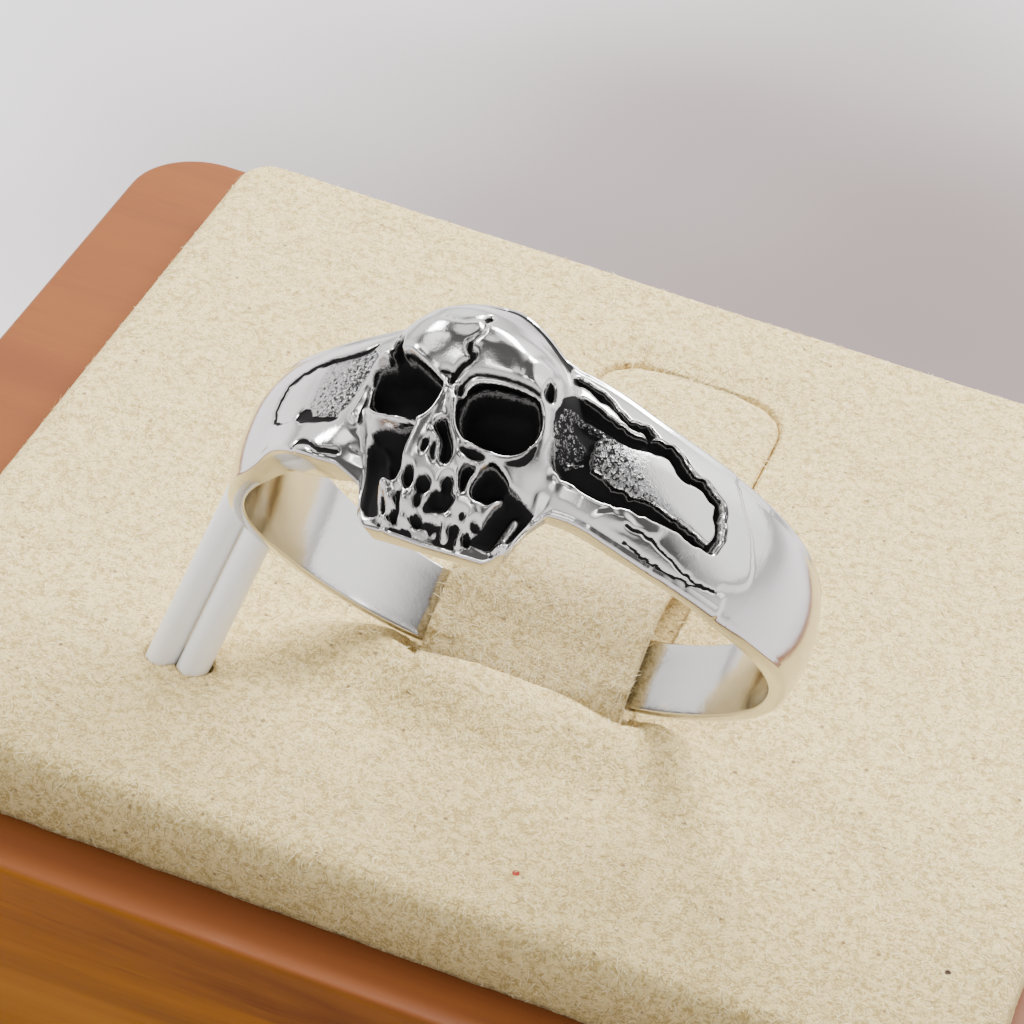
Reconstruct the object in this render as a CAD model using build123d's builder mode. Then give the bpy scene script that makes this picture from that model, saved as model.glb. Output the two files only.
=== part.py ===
"""Cast skull ring held by the flap of a suede display pad on a varnished wood block.

Millimetres, +Z up, origin under the middle of the block on the table.
X runs along the front of the block, Y goes away from the viewer.
"""
from build123d import *
import math
import os

os.makedirs("parts", exist_ok=True)

# Wood block
block_width = 52.0
block_depth = 43.0
block_height = 14.0
block_corner = 3.2
block_edge = 0.4

# Suede pad
pad_width = 42.0
pad_depth = 38.2
pad_thick = 2.8
pad_corner = 1.6
pad_edge = 0.9

# Flap cut from the pad
flap_width = 7.6
flap_thick = 0.6
flap_corner = 2.0
flap_length = 21.6
flap_slack = 0.1
flap_gap = 0.08
rim_slack = 0.22

# Ring
bore_radius = 9.25
wall = 0.6
shank_half = 1.3
crest_curve = 2.2
chin_run = 2.4
least_height = 0.45
ring_lean = 30.4
ring_roll = -7.3
ring_side = 1.0
ring_front = 11.0
rest_gap = 0.02

# Support pins
pin_diameter = 1.15
pin_pitch = 1.2
pin_height = 7.6
pin_seat = 1.8
pin_slack = 0.08
pin_side = -10.6
pin_front = 11.7
pin_drift = 0.20
pin_tilt = 0.66

pad_top = block_height + pad_thick
lean = math.radians(ring_lean)
outer_radius = bore_radius + wall
ring_height = outer_radius * math.cos(lean) + shank_half * math.sin(lean) + rest_gap

# Ring sections around the finger, from the foot of the left side to that of the right
# angle, chin side, crown side, chin rim wall, crown rim wall, crest wall
SECTIONS = [
    (-180.0, shank_half, shank_half, wall, wall, 0.72),
    (-150.0, 1.38, 1.36, 0.58, 0.58, 0.75),
    (-125.0, 1.52, 1.55, 0.55, 0.55, 0.82),
    (-105.0, 1.70, 1.82, 0.50, 0.50, 0.86),
    (-90.0, 1.95, 1.98, 0.55, 0.48, 0.88),
    (-75.0, 2.20, 2.10, 0.60, 0.42, 0.90),
    (-62.0, 2.33, 2.14, 0.58, 0.38, 0.95),
    (-50.0, 2.38, 2.16, 0.70, 0.36, 1.04),
    (-44.0, 2.28, 2.20, 0.92, 0.34, 1.04),
    (-40.0, 2.22, 2.24, 1.18, 0.34, 1.12),
    (-36.0, 2.26, 2.30, 1.42, 0.36, 1.22),
    (-31.0, 2.40, 2.40, 1.72, 0.38, 1.34),
    (-25.0, 2.55, 2.58, 1.80, 0.45, 1.48),
    (-20.0, 2.55, 2.80, 1.30, 0.50, 1.58),
    (-15.5, 2.90, 3.00, 0.75, 0.50, 1.64),
    (-13.5, 3.90, 3.20, 0.60, 0.50, 1.68),
    (-10.5, 4.35, 3.45, 0.55, 0.50, 1.70),
    (1.0, 4.42, 3.80, 0.55, 0.50, 1.70),
    (12.5, 4.35, 3.05, 0.55, 0.45, 1.66),
    (15.5, 3.90, 2.88, 0.60, 0.45, 1.62),
    (17.5, 2.80, 2.84, 0.70, 0.45, 1.60),
    (20.0, 2.15, 2.79, 0.75, 0.48, 1.57),
    (25.0, 2.08, 2.67, 0.80, 0.45, 1.51),
    (32.0, 2.20, 2.45, 0.60, 0.40, 1.42),
    (40.0, 2.28, 2.30, 0.42, 0.40, 1.30),
    (50.0, 2.30, 2.22, 0.42, 0.40, 1.15),
    (62.0, 2.33, 2.18, 0.48, 0.40, 1.05),
    (75.0, 2.20, 2.12, 0.55, 0.45, 1.02),
    (90.0, 1.95, 1.98, 0.55, 0.50, 0.98),
    (105.0, 1.70, 1.82, 0.50, 0.50, 0.90),
    (125.0, 1.52, 1.55, 0.55, 0.55, 0.82),
    (150.0, 1.38, 1.36, 0.58, 0.58, 0.75),
    (180.0, shank_half, shank_half, wall, wall, 0.72),
]

# Skull along its middle line from the chin to the crown
# up, height over the bore, middle, half width, fullness of the sides
FACE = [
    (-4.45, 0.60, 0.00, 2.75, 3.0),
    (-4.15, 0.80, 0.00, 2.75, 3.0),
    (-3.95, 1.20, 0.00, 2.80, 3.0),
    (-3.40, 1.85, 0.00, 2.85, 3.0),
    (-2.80, 2.30, 0.00, 2.95, 3.0),
    (-2.00, 2.75, 0.00, 3.20, 3.0),
    (-1.40, 2.95, 0.00, 3.60, 3.0),
    (-0.70, 3.12, 0.00, 3.90, 3.2),
    (0.00, 3.02, 0.00, 3.95, 3.2),
    (0.70, 3.42, 0.00, 3.90, 3.2),
    (1.40, 3.68, -0.02, 3.68, 2.8),
    (2.00, 3.70, -0.08, 3.25, 2.4),
    (2.60, 3.30, -0.22, 2.68, 2.1),
    (3.20, 2.42, -0.25, 2.30, 1.9),
    (3.60, 1.42, -0.22, 2.18, 1.9),
    (4.00, 0.48, -0.20, 2.15, 1.9),
]
skull_turn = 6.0
skull_shift = 0.05
skull_base = 0.95
form_radius = 11.5
skull_end = 32.0
skull_joint = 0.3

# Sunken fields of the skull: outlines in skull places
EYE_LEFT = [
    (-3.05, 0.50), (-2.65, 0.70), (-2.25, 0.65), (-1.80, 0.85), (-1.45, 0.75), (-0.85, 0.35),
    (-0.40, 0.05), (-0.50, -0.70), (-0.75, -1.10), (-2.10, -1.00), (-2.80, -0.70), (-3.25, 0.10),
]
EYE_RIGHT = [
    (0.25, -0.45), (0.45, 0.05), (0.80, 0.25), (1.60, 0.30), (2.40, 0.25), (2.65, -0.20),
    (2.65, -0.70), (2.50, -1.15), (2.10, -1.50), (1.70, -1.65), (1.10, -1.60), (0.55, -1.40),
]
NOSE_LEFT = [(-0.40, -1.60), (-0.40, -1.95), (-0.60, -2.15), (-0.75, -2.00), (-0.60, -1.70)]
NOSE_RIGHT = [(-0.35, -1.25), (-0.15, -1.05), (0.00, -1.15), (0.35, -2.00), (0.20, -2.30), (-0.20, -2.30), (-0.30, -1.90)]
CHEEK_LEFT = [
    (-2.75, -1.40), (-2.30, -1.25), (-1.50, -1.40), (-0.90, -1.30), (-1.25, -2.50), (-1.70, -2.90),
    (-1.90, -3.40), (-2.20, -4.00), (-2.60, -4.00), (-2.65, -2.60),
]
CHEEK_RIGHT = [
    (1.10, -2.90), (1.15, -2.50), (1.40, -2.10), (2.00, -2.30), (2.05, -2.60), (1.65, -3.10), (1.40, -2.95),
]
JAW_RIGHT = [
    (2.15, -2.75), (1.75, -3.30), (1.60, -3.80), (1.30, -4.15), (2.00, -4.40), (2.90, -3.85),
    (3.65, -2.95), (3.20, -2.60), (2.50, -2.45),
]
GAP_RIGHT = [(0.65, -2.55), (0.75, -2.25), (1.15, -2.15), (0.95, -2.70), (0.85, -3.00), (0.70, -2.90)]
TEMPLE_SLIT = [(2.55, 1.05), (2.80, 0.95), (2.90, 0.40), (2.70, 0.35), (2.50, 0.55)]

# Outline, height of the floor over the bore, wall run
PITS = [
    (EYE_LEFT, 1.15, 0.30),
    (EYE_RIGHT, 1.15, 0.30),
    (NOSE_LEFT, 2.05, 0.12),
    (NOSE_RIGHT, 1.95, 0.12),
    (CHEEK_LEFT, 0.95, 0.32),
    (CHEEK_RIGHT, 1.00, 0.25),
    (JAW_RIGHT, 0.55, 0.35),
    (GAP_RIGHT, 1.60, 0.12),
    (TEMPLE_SLIT, 1.90, 0.10),
]

# Branch of the jaw: half width, rise, line
RAMUS = (0.22, 0.40, [(2.65, -3.10), (2.50, -3.60), (2.35, -4.05)])

# Root holes over the teeth: sideways, up, half width, half height, depth
ROOT_HOLES = [
    (-1.40, -3.40, 0.10, 0.20, 0.30),
    (-0.95, -2.75, 0.15, 0.25, 0.40),
    (-0.45, -2.90, 0.20, 0.20, 0.45),
    (0.30, -2.85, 0.15, 0.25, 0.45),
    (0.20, -3.35, 0.40, 0.20, 0.50),
]

# Teeth, upper row then lower row: sideways, up, half width, half height, rise
TEETH = [
    (-1.70, -3.10, 0.20, 0.35, 0.22),
    (-1.10, -3.20, 0.25, 0.35, 0.26),
    (-0.50, -3.40, 0.25, 0.25, 0.26),
    (0.80, -3.40, 0.25, 0.35, 0.30),
    (1.35, -3.35, 0.25, 0.40, 0.24),
    (-1.60, -3.85, 0.20, 0.22, 0.28),
    (-1.05, -3.90, 0.22, 0.22, 0.30),
    (-0.55, -3.95, 0.20, 0.22, 0.28),
    (-0.10, -4.00, 0.20, 0.22, 0.32),
    (0.45, -4.00, 0.22, 0.22, 0.34),
    (0.95, -4.10, 0.20, 0.20, 0.32),
]

# Cracks as folded lines in skull places: half width, depth, line
CRACKS = [
    (0.11, 0.38, [(0.45, 2.40), (0.50, 1.75), (0.20, 1.30), (0.35, 1.00), (0.00, 0.50), (-0.15, 0.10)]),
    (0.07, 0.25, [(-0.75, 2.10), (-0.15, 2.00), (0.40, 2.25)]),
    (0.10, 0.35, [(-2.15, 1.50), (-1.95, 1.00)]),
]

# Shoulder relief in places round the band: sideways, up
PIT_RIGHT = [
    (2.95, 0.60), (3.30, 1.60), (3.70, 1.70), (5.10, 1.35), (5.90, 1.30), (6.70, 1.60), (7.25, 1.70), (8.20, 1.15),
    (8.95, 1.15), (9.75, 0.80), (10.20, -0.30), (10.10, -0.70), (8.60, -0.85), (6.85, -0.95), (5.50, -1.15), (4.05, -1.05),
    (3.40, -0.55), (3.10, 0.00),
]
LEAF_RIGHT = [
    (4.55, 0.55), (5.05, 0.90), (6.00, 0.95), (7.25, 1.20), (7.70, 0.85), (8.60, 0.90), (9.60, 0.60), (10.00, -0.35),
    (9.90, -0.60), (8.20, -0.55), (6.95, -0.50), (5.70, -0.65), (4.75, -0.40), (4.50, 0.05),
]
PIT_LEFT = [
    (-8.70, -0.80), (-9.00, -0.45), (-8.80, 0.40), (-8.10, 0.80), (-7.70, 1.10), (-6.20, 1.45), (-4.60, 1.80), (-3.85, 1.30),
    (-4.00, 0.10), (-4.35, -0.80), (-5.00, -1.20), (-6.90, -1.10), (-8.20, -1.05),
]
LEAF_LEFT = [
    (-8.60, -0.70), (-8.90, -0.40), (-8.65, 0.40), (-7.60, 1.00), (-6.20, 1.30), (-4.75, 1.40), (-4.20, 1.05), (-4.20, -0.40),
    (-4.95, -1.05), (-6.30, -0.75), (-7.60, -1.00),
]

# End of the carved shoulder on the right, where the plain band starts
STEP_RIGHT = [
    (0.00, 3.20), (9.60, 2.60), (10.40, 1.85), (11.00, 0.85), (11.90, -0.10), (12.20, -0.70), (11.10, -1.50), (11.85, -2.60),
    (0.00, -3.20),
]

# Shoulder fields: outline, drop, wall run
FIELDS = [
    (STEP_RIGHT, -0.10, 0.40),
    (PIT_RIGHT, 0.55, 0.14),
    (PIT_LEFT, 0.36, 0.14),
    (LEAF_RIGHT, -0.42, 0.20),
    (LEAF_LEFT, -0.28, 0.16),
]

# Shoulder grooves: half width, depth, line
GROOVES = [
    (0.11, 0.34, [(3.00, 2.30), (4.20, 2.15), (5.00, 1.80), (5.80, 1.65), (6.40, 1.60)]),
    (0.10, 0.20, [(6.60, -1.50), (7.70, -1.45), (8.85, -1.70), (9.50, -1.75), (11.00, -1.70)]),
    (0.09, 0.10, [(5.30, -1.95), (6.65, -2.00)]),
    (0.12, 0.28, [(-5.80, -2.40), (-5.45, -2.10), (-4.60, -2.25), (-4.15, -2.25)]),
]
shoulder_end = 12.6

# Grid of the ring's facets: angle span and count on one side, rows across
COLUMNS = [(23.0, 27), (60.0, 17), (90.0, 9), (180.0, 11)]
ROWS_LOW = 10
ROWS_MIDDLE = 18
ROWS_CROWN = 8
middle_half = 2.05
chin_share = 0.90
crown_share = 0.88


def between(table, place, column):
    """Value of one column of a table at a place, on straight lines between its rows."""
    if place <= table[0][0]:
        return table[0][column]
    for low, high in zip(table, table[1:]):
        if place <= high[0]:
            share = (place - low[0]) / (high[0] - low[0])
            return low[column] + share * (high[column] - low[column])
    return table[-1][column]


def ease(share):
    """Soft step from 0 to 1."""
    share = min(1.0, max(0.0, share))
    return share * share * (3.0 - 2.0 * share)


def blend_max(first, second, reach):
    """Larger of two heights with a rounded joint."""
    near = max(reach - abs(first - second), 0.0) / reach
    return max(first, second) + near * near * reach / 4.0


def line_distance(x, y, line):
    """Distance from a place to a folded line."""
    best = 1e9
    for (ax, ay), (bx, by) in zip(line, line[1:]):
        dx, dy = bx - ax, by - ay
        share = ((x - ax) * dx + (y - ay) * dy) / (dx * dx + dy * dy)
        share = min(1.0, max(0.0, share))
        best = min(best, math.hypot(x - ax - share * dx, y - ay - share * dy))
    return best


def depth_inside(x, y, outline):
    """Distance from the outline, positive inside it."""
    inside = False
    closed = outline + outline[:1]
    for (ax, ay), (bx, by) in zip(closed, closed[1:]):
        if (ay > y) != (by > y) and x < ax + (y - ay) * (bx - ax) / (by - ay):
            inside = not inside
    distance = line_distance(x, y, closed)
    return distance if inside else -distance


def bump(x, y, row):
    """Share of a rounded oval at a place: 1 in its middle, 0 at its edge."""
    reach = math.hypot((x - row[0]) / row[2], (y - row[1]) / row[3])
    return ease(1.25 - reach)


def band_height(angle, across):
    """Height of the plain band over the bore."""
    chin, crown, chin_rim, crown_rim, crest = (between(SECTIONS, angle, column) for column in (1, 2, 3, 4, 5))
    if across < 0.0:
        return crest - (crest - chin_rim) * min(1.0, -across / min(chin, chin_run)) ** crest_curve
    return crest - (crest - crown_rim) * min(1.0, across / crown) ** crest_curve


def skull_place(angle, across):
    """Place on the skull, turned with it: sideways and up."""
    sideways = math.radians(angle) * form_radius - skull_shift
    turn = math.radians(skull_turn)
    return (sideways * math.cos(turn) + across * math.sin(turn),
            across * math.cos(turn) - sideways * math.sin(turn))


def skull_height(sideways, up):
    """Height of the plain skull over the bore."""
    top, middle, half_width, fullness = (between(FACE, up, column) for column in (1, 2, 3, 4))
    return top - (top - skull_base) * (abs(sideways - middle) / half_width) ** fullness


def surface_height(angle, across):
    """Height of the ring's outside over the bore with all its relief."""
    height = band_height(angle, across)
    around = math.radians(angle) * form_radius
    if abs(around) > shoulder_end:
        return height
    for outline, drop, run in FIELDS:
        height -= drop * ease(depth_inside(around, across, outline) / run + 0.5)
    for half_width, depth, line in GROOVES:
        height -= depth * ease(1.5 - line_distance(around, across, line) / half_width)
    if abs(angle) > skull_end:
        return height
    sideways, up = skull_place(angle, across)
    height = blend_max(height, skull_height(sideways, up), skull_joint)
    for row in TEETH:
        height += row[4] * bump(sideways, up, row)
    for row in ROOT_HOLES:
        height -= row[4] * bump(sideways, up, row)
    for half_width, depth, line in CRACKS:
        height -= depth * ease(1.5 - line_distance(sideways, up, line) / half_width)
    for outline, floor, run in PITS:
        height -= max(height - floor, 0.0) * ease(depth_inside(sideways, up, outline) / run + 0.3)
    height += RAMUS[1] * ease(1.3 - line_distance(sideways, up, RAMUS[2]) / RAMUS[0])
    return max(height, least_height)


def column_angles():
    """Angles of the ring's grid columns, all the way round."""
    half = [0.0]
    for stop, count in COLUMNS:
        start = half[-1]
        half += [start + (stop - start) * step / count for step in range(1, count + 1)]
    return [-angle for angle in reversed(half[1:-1])] + half


def row_places(angle):
    """Places across the band at one angle, from the chin side to the crown side."""
    chin, crown = -between(SECTIONS, angle, 1), between(SECTIONS, angle, 2)
    low = max(-middle_half, chin * chin_share)
    high = min(middle_half, crown * crown_share)
    rows = [chin + (low - chin) * step / ROWS_LOW for step in range(ROWS_LOW)]
    rows += [low + (high - low) * step / ROWS_MIDDLE for step in range(ROWS_MIDDLE)]
    rows += [high + (crown - high) * step / ROWS_CROWN for step in range(ROWS_CROWN + 1)]
    return rows


def ring_point(angle, across, height):
    """Point of the ring in its own frame, the skull up and the finger along Y."""
    radius = bore_radius + height
    return Vector(radius * math.sin(math.radians(angle)), across, radius * math.cos(math.radians(angle)))


def ring_facets():
    """Triangles of the ring: outside, both rims and bore."""
    loops = []
    for angle in column_angles():
        rows = row_places(angle)
        loop = [ring_point(angle, across, surface_height(angle, across)) for across in rows]
        loop += [ring_point(angle, rows[-1], 0.0), ring_point(angle, rows[0], 0.0)]
        loops.append(loop)
    facets = []
    count = len(loops[0])
    for first, second in zip(loops, loops[1:] + loops[:1]):
        for low in range(count):
            high = (low + 1) % count
            facets.append(Face(Wire.make_polygon([first[low], second[low], second[high]])))
            facets.append(Face(Wire.make_polygon([first[low], second[high], first[high]])))
    return facets


# Wood block
with BuildPart() as wood_block:
    with BuildSketch():
        RectangleRounded(block_width, block_depth, block_corner)
    extrude(amount=block_height)
    fillet(wood_block.faces().sort_by(Axis.Z)[-1].edges(), block_edge)
wood_block.part.label = "wood_block"

# Places of the ring, the flap and the pins on the pad
ring_place = Location((ring_side, -ring_front, pad_top + ring_height), (ring_lean, ring_roll, 0.0))
rim_front = bore_radius * math.sin(lean) - shank_half * math.cos(lean) - ring_front
rim_up = ring_height - bore_radius * math.cos(lean) - shank_half * math.sin(lean)
flap_front = rim_front - flap_thick
flap_back = flap_front + flap_length
pin_axis = Vector(pin_drift, pin_tilt, 1.0)
pin_planes = []
for side in (-0.5, 0.5):
    foot = Vector(pin_side + side * pin_pitch, -pin_front, pad_top) - pin_axis * pin_seat
    pin_planes.append(Plane(origin=foot, z_dir=pin_axis, x_dir=(1, 0, 0)))
pin_length = pin_axis.length * (pin_height + pin_seat)

# Suede pad with the pocket of its flap and the seats of the pins
with BuildPart() as suede_pad:
    with BuildSketch(Plane.XY.offset(block_height)):
        RectangleRounded(pad_width, pad_depth, pad_corner)
    extrude(amount=pad_thick)
    fillet(suede_pad.faces().sort_by(Axis.Z)[-1].edges(), pad_edge)
    with BuildSketch(Plane.XY.offset(pad_top - flap_thick - flap_gap)):
        with Locations((ring_side, (flap_front + flap_back) / 2)):
            pocket = Rectangle(flap_width + 2 * flap_slack, flap_length + 2 * flap_slack)
        fillet(pocket.vertices().group_by(Axis.Y)[-1], flap_corner)
    extrude(amount=pad_thick, mode=Mode.SUBTRACT)
    for plane in pin_planes:
        with BuildSketch(plane):
            Circle(pin_diameter / 2 + pin_slack)
        extrude(amount=pin_length, mode=Mode.SUBTRACT)
suede_pad.part.label = "suede_pad"

# Flap sections along its run over the shank, measured from the bore's chin rim
# forward, up, slope, rise of the sides
side_rise = bore_radius - math.sqrt(bore_radius ** 2 - (flap_width / 2) ** 2)
level = -rim_up - flap_thick
root = -level * math.tan(lean) - rim_slack / math.cos(lean)
over_front = -flap_gap * math.sin(lean) - rim_slack * math.cos(lean)
over_up = flap_gap * math.cos(lean) - rim_slack * math.sin(lean)
over = 2 * shank_half + 2 * rim_slack
FLAP_ROWS = [
    (root, level, 90.0, 0.00),
    (-rim_slack * math.cos(lean), -rim_slack * math.sin(lean), 90.0 + ring_lean, 0.00),
    (over_front, over_up, ring_lean, side_rise),
    (over_front + over * math.cos(lean), over_up + over * math.sin(lean), ring_lean, side_rise),
    (3.20, 1.70, 2.0, 0.70),
    (4.80, 1.40, -18.0, 0.50),
    (7.20, 0.45, -24.0, 0.25),
    (9.60, -0.62, -20.0, 0.08),
    (11.60, level, 0.0, 0.00),
    (flap_back - rim_front, level, 0.0, 0.00),
]


def flap_section(row):
    """Curved band section of the flap across its run."""
    forward, up, slope, droop = row
    rise = math.radians(slope)
    origin = Vector(ring_side, rim_front + forward, pad_top + rim_up + up)
    along = Vector(0.0, math.cos(rise), math.sin(rise))
    plane = Plane(origin=origin, x_dir=(1, 0, 0), z_dir=along * -1.0)
    half = flap_width / 2
    droop = max(droop, 0.01)
    with BuildSketch(plane) as section:
        with BuildLine():
            ThreePointArc((-half, droop), (0.0, 0.0), (half, droop))
            Line((half, droop), (half, droop + flap_thick))
            ThreePointArc((half, droop + flap_thick), (0.0, flap_thick), (-half, droop + flap_thick))
            Line((-half, droop + flap_thick), (-half, droop))
        make_face()
    return section


# Flap over the shank
with BuildPart() as pad_flap:
    for row in FLAP_ROWS:
        add(flap_section(row).sketch)
    loft(ruled=True)
    fillet(pad_flap.edges().filter_by(Axis.Z).group_by(Axis.Y)[-1], flap_corner)
pad_flap.part.label = "pad_flap"

# Ring
with BuildPart() as skull_ring:
    with Locations(ring_place):
        add(Solid(Shell(ring_facets())))
skull_ring.part.label = "skull_ring"

# Support pins
with BuildPart() as pin_left:
    with BuildSketch(pin_planes[0]):
        Circle(pin_diameter / 2)
    extrude(amount=pin_length)
pin_left.part.label = "pin_left"

with BuildPart() as pin_right:
    with BuildSketch(pin_planes[1]):
        Circle(pin_diameter / 2)
    extrude(amount=pin_length)
pin_right.part.label = "pin_right"

# Files
for piece in (wood_block, suede_pad, pad_flap, skull_ring, pin_left, pin_right):
    export_step(piece.part, f"parts/{piece.part.label}.step")
    box = piece.part.bounding_box()
    print(piece.part.label, box.min, box.max, round(piece.part.volume, 2))
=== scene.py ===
# %% [markdown]
# # A cast skull ring on its display stand
# A polished steel ring with a skull is held by a suede flap on a pad, and the pad lies on a
# varnished wood block. Two thin white pins stand behind the ring. All sizes below are in
# millimetres, with the origin under the middle of the block and the viewer at the near side (-Y).
# The first cell reads the CAD model, because every piece made here stands for one of its solids.

# %% Start from the CAD frame
import math
import bpy
import numpy as np
from mathutils import Matrix, Quaternion, Vector


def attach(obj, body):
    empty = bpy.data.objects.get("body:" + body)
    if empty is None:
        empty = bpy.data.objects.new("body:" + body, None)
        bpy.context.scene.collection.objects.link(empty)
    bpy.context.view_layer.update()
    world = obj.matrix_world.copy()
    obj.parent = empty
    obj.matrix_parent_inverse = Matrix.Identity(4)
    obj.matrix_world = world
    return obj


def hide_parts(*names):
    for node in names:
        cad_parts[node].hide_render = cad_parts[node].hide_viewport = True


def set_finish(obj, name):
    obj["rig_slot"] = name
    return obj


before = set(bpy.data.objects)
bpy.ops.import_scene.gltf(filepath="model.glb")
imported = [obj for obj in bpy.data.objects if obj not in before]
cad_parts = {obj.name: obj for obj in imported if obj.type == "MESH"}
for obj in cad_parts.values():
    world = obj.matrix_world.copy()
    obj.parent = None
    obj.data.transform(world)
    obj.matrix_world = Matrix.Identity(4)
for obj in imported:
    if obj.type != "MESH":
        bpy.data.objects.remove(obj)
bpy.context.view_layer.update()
MM = 0.001
print("CAD nodes:", sorted(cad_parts))

# %% [markdown]
# ## The sizes that all pieces share
# A ring on a stand is a stack: the block carries the pad, and the pad carries the ring. So the
# height of the ring follows from the height of the block, the pad and the tilt of the ring.
# Keeping these few numbers in one place means that every later piece fits the others.

# %% Shared sizes
block_width, block_depth, block_height = 52.0, 43.0, 14.0
pad_width, pad_depth, pad_thick = 42.0, 38.2, 2.8
pad_top = block_height + pad_thick
bore_radius = 9.25
shank_wall, shank_half = 0.6, 1.3
ring_lean, ring_roll = 30.4, -7.3
ring_side, ring_front, ring_gap = 1.0, 11.0, 0.02
lean = math.radians(ring_lean)
ring_height = (bore_radius + shank_wall) * math.cos(lean) + shank_half * math.sin(lean) + ring_gap
ring_centre = Vector((ring_side, -ring_front, pad_top + ring_height))
ring_turn = Matrix.Rotation(lean, 4, "X") @ Matrix.Rotation(math.radians(ring_roll), 4, "Y")
print("ring centre", tuple(round(c, 2) for c in ring_centre))

# %% [markdown]
# ## The camera
# The photograph looks down on the near corner of the stand with a long lens, and the camera was
# tipped a little to one side. A camera looks along its own -Z, so `to_track_quat` aims it and a
# last turn about that axis gives the tip.

# %% Camera
camera_place = Vector((24.07, -105.17, 105.37)) * MM
camera_aim = Vector((0.19, -10.42, 26.93)) * MM
camera_roll = 9.47
camera = bpy.data.objects.new("camera", bpy.data.cameras.new("camera"))
bpy.context.scene.collection.objects.link(camera)
camera.data.sensor_width = 36.0
camera.data.lens = 131.5
camera.data.clip_start, camera.data.clip_end = 0.005, 20.0
camera.rotation_mode = "QUATERNION"
camera.location = camera_place
aim = (camera_aim - camera_place).to_track_quat("-Z", "Y")
camera.rotation_quaternion = aim @ Quaternion((0.0, 0.0, 1.0), math.radians(camera_roll))
bpy.context.scene.camera = camera
print("camera distance", round((camera_aim - camera_place).length / MM, 1), "mm")

# %% [markdown]
# ## Small tools for shapes
# Cast metal has no straight edges, so the tables below are read on smooth curves: the straight
# lines between the rows are averaged over a short window. `ease` is the soft step that makes every
# wall and ridge round, and `grain` gives the small unevenness of a hand-finished casting.

# %% Soft curves and grain
lattice_size, tap_count, tap_fade = 96, 9, 2.2


def ease(share):
    """Soft step from 0 to 1."""
    share = np.clip(share, 0.0, 1.0)
    return share * share * (3.0 - 2.0 * share)


def between(place, pairs):
    """Value at many places, on straight lines between pairs of a place and its value."""
    return np.interp(place, *np.transpose(pairs))


def soft_column(table, place, column, window):
    """One column of a table at many places, on smooth curves between its rows."""
    pairs = [(row[0], row[column]) for row in table]
    taps = np.linspace(-1.0, 1.0, tap_count)
    weights = np.cos(taps * math.pi / tap_fade) ** 2
    total = sum(weight * between(place + tap * window, pairs) for tap, weight in zip(taps, weights))
    return total / weights.sum()


def grain(x, y, size, seed):
    """Soft random relief between -1 and 1 with lumps of one size."""
    lattice = np.random.default_rng(seed).uniform(-1.0, 1.0, (lattice_size, lattice_size))
    column, row = np.floor(x / size).astype(int), np.floor(y / size).astype(int)
    across, along = ease(x / size - column), ease(y / size - row)
    left, right = column % lattice_size, (column + 1) % lattice_size
    low, high = row % lattice_size, (row + 1) % lattice_size
    near = lattice[left, low] * (1.0 - across) + lattice[right, low] * across
    far = lattice[left, high] * (1.0 - across) + lattice[right, high] * across
    return near * (1.0 - along) + far * along


# %% [markdown]
# The carving is drawn with lines, ovals and outlines. These tools say for many places at once how
# far they are from such a form and how much they belong to it, so a ridge or a hollow further
# down is one row of a table.

# %% Distances to lines and outlines
def line_distance(x, y, line):
    """Distance from many places to a folded line."""
    best = np.full(np.shape(x), 1e9)
    for (ax, ay), (bx, by) in zip(line, line[1:]):
        dx, dy = bx - ax, by - ay
        share = np.clip(((x - ax) * dx + (y - ay) * dy) / (dx * dx + dy * dy), 0.0, 1.0)
        best = np.minimum(best, np.hypot(x - ax - share * dx, y - ay - share * dy))
    return best


def depth_inside(x, y, outline):
    """Distance from an outline at many places, positive inside it."""
    closed = list(outline) + [outline[0]]
    inside = np.zeros(np.shape(x), bool)
    for (ax, ay), (bx, by) in zip(closed, closed[1:]):
        if ay != by:
            inside ^= ((ay > y) != (by > y)) & (x < ax + (y - ay) * (bx - ax) / (by - ay))
    distance = line_distance(x, y, closed)
    return np.where(inside, distance, -distance)


def cut_corners(outline, rounds):
    """Outline with its corners cut again and again, which makes them round."""
    for _ in range(rounds):
        following = outline[1:] + outline[:1]
        cut = []
        for (ax, ay), (bx, by) in zip(outline, following):
            cut.append((ax * 0.75 + bx * 0.25, ay * 0.75 + by * 0.25))
            cut.append((ax * 0.25 + bx * 0.75, ay * 0.25 + by * 0.75))
        outline = cut
    return outline


# %% Soft shares inside lines, ovals and outlines
fade_end = 1.5


def outline_share(x, y, outline, run, start=0.5):
    """1 inside an outline and 0 outside it, with a soft wall as wide as run."""
    return ease(depth_inside(x, y, outline) / run + start)


def line_share(x, y, line, half_width):
    """1 on a line, fading to 0 at one and a half times its half width."""
    return ease(fade_end - line_distance(x, y, line) / half_width)


def oval_share(x, y, side, up, half_width, half_height):
    """1 in the middle of an oval, fading to 0 at one and a half times its size."""
    return ease(fade_end - np.hypot((x - side) / half_width, (y - up) / half_height))


# %% [markdown]
# ## From numbers to a mesh
# `new_piece` turns points in millimetres into a smooth-shaded object whose place is in its mesh,
# and `wrap_faces` joins a sheet of points into quads. Both are used by every piece, so a piece is
# only its points. Quads in rows keep reflections on polished metal calm.

# %% Meshes from points
def new_piece(name, points, faces, material):
    """Smooth mesh object from points in millimetres."""
    mesh = bpy.data.meshes.new(name)
    mesh.from_pydata((np.asarray(points) * MM).tolist(), [], [tuple(face) for face in faces])
    mesh.polygons.foreach_set("use_smooth", [True] * len(mesh.polygons))
    mesh.materials.append(material)
    mesh.validate()
    piece = bpy.data.objects.new(name, mesh)
    bpy.context.scene.collection.objects.link(piece)
    print(name, len(mesh.vertices), "points", len(mesh.polygons), "faces")
    return piece


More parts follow.
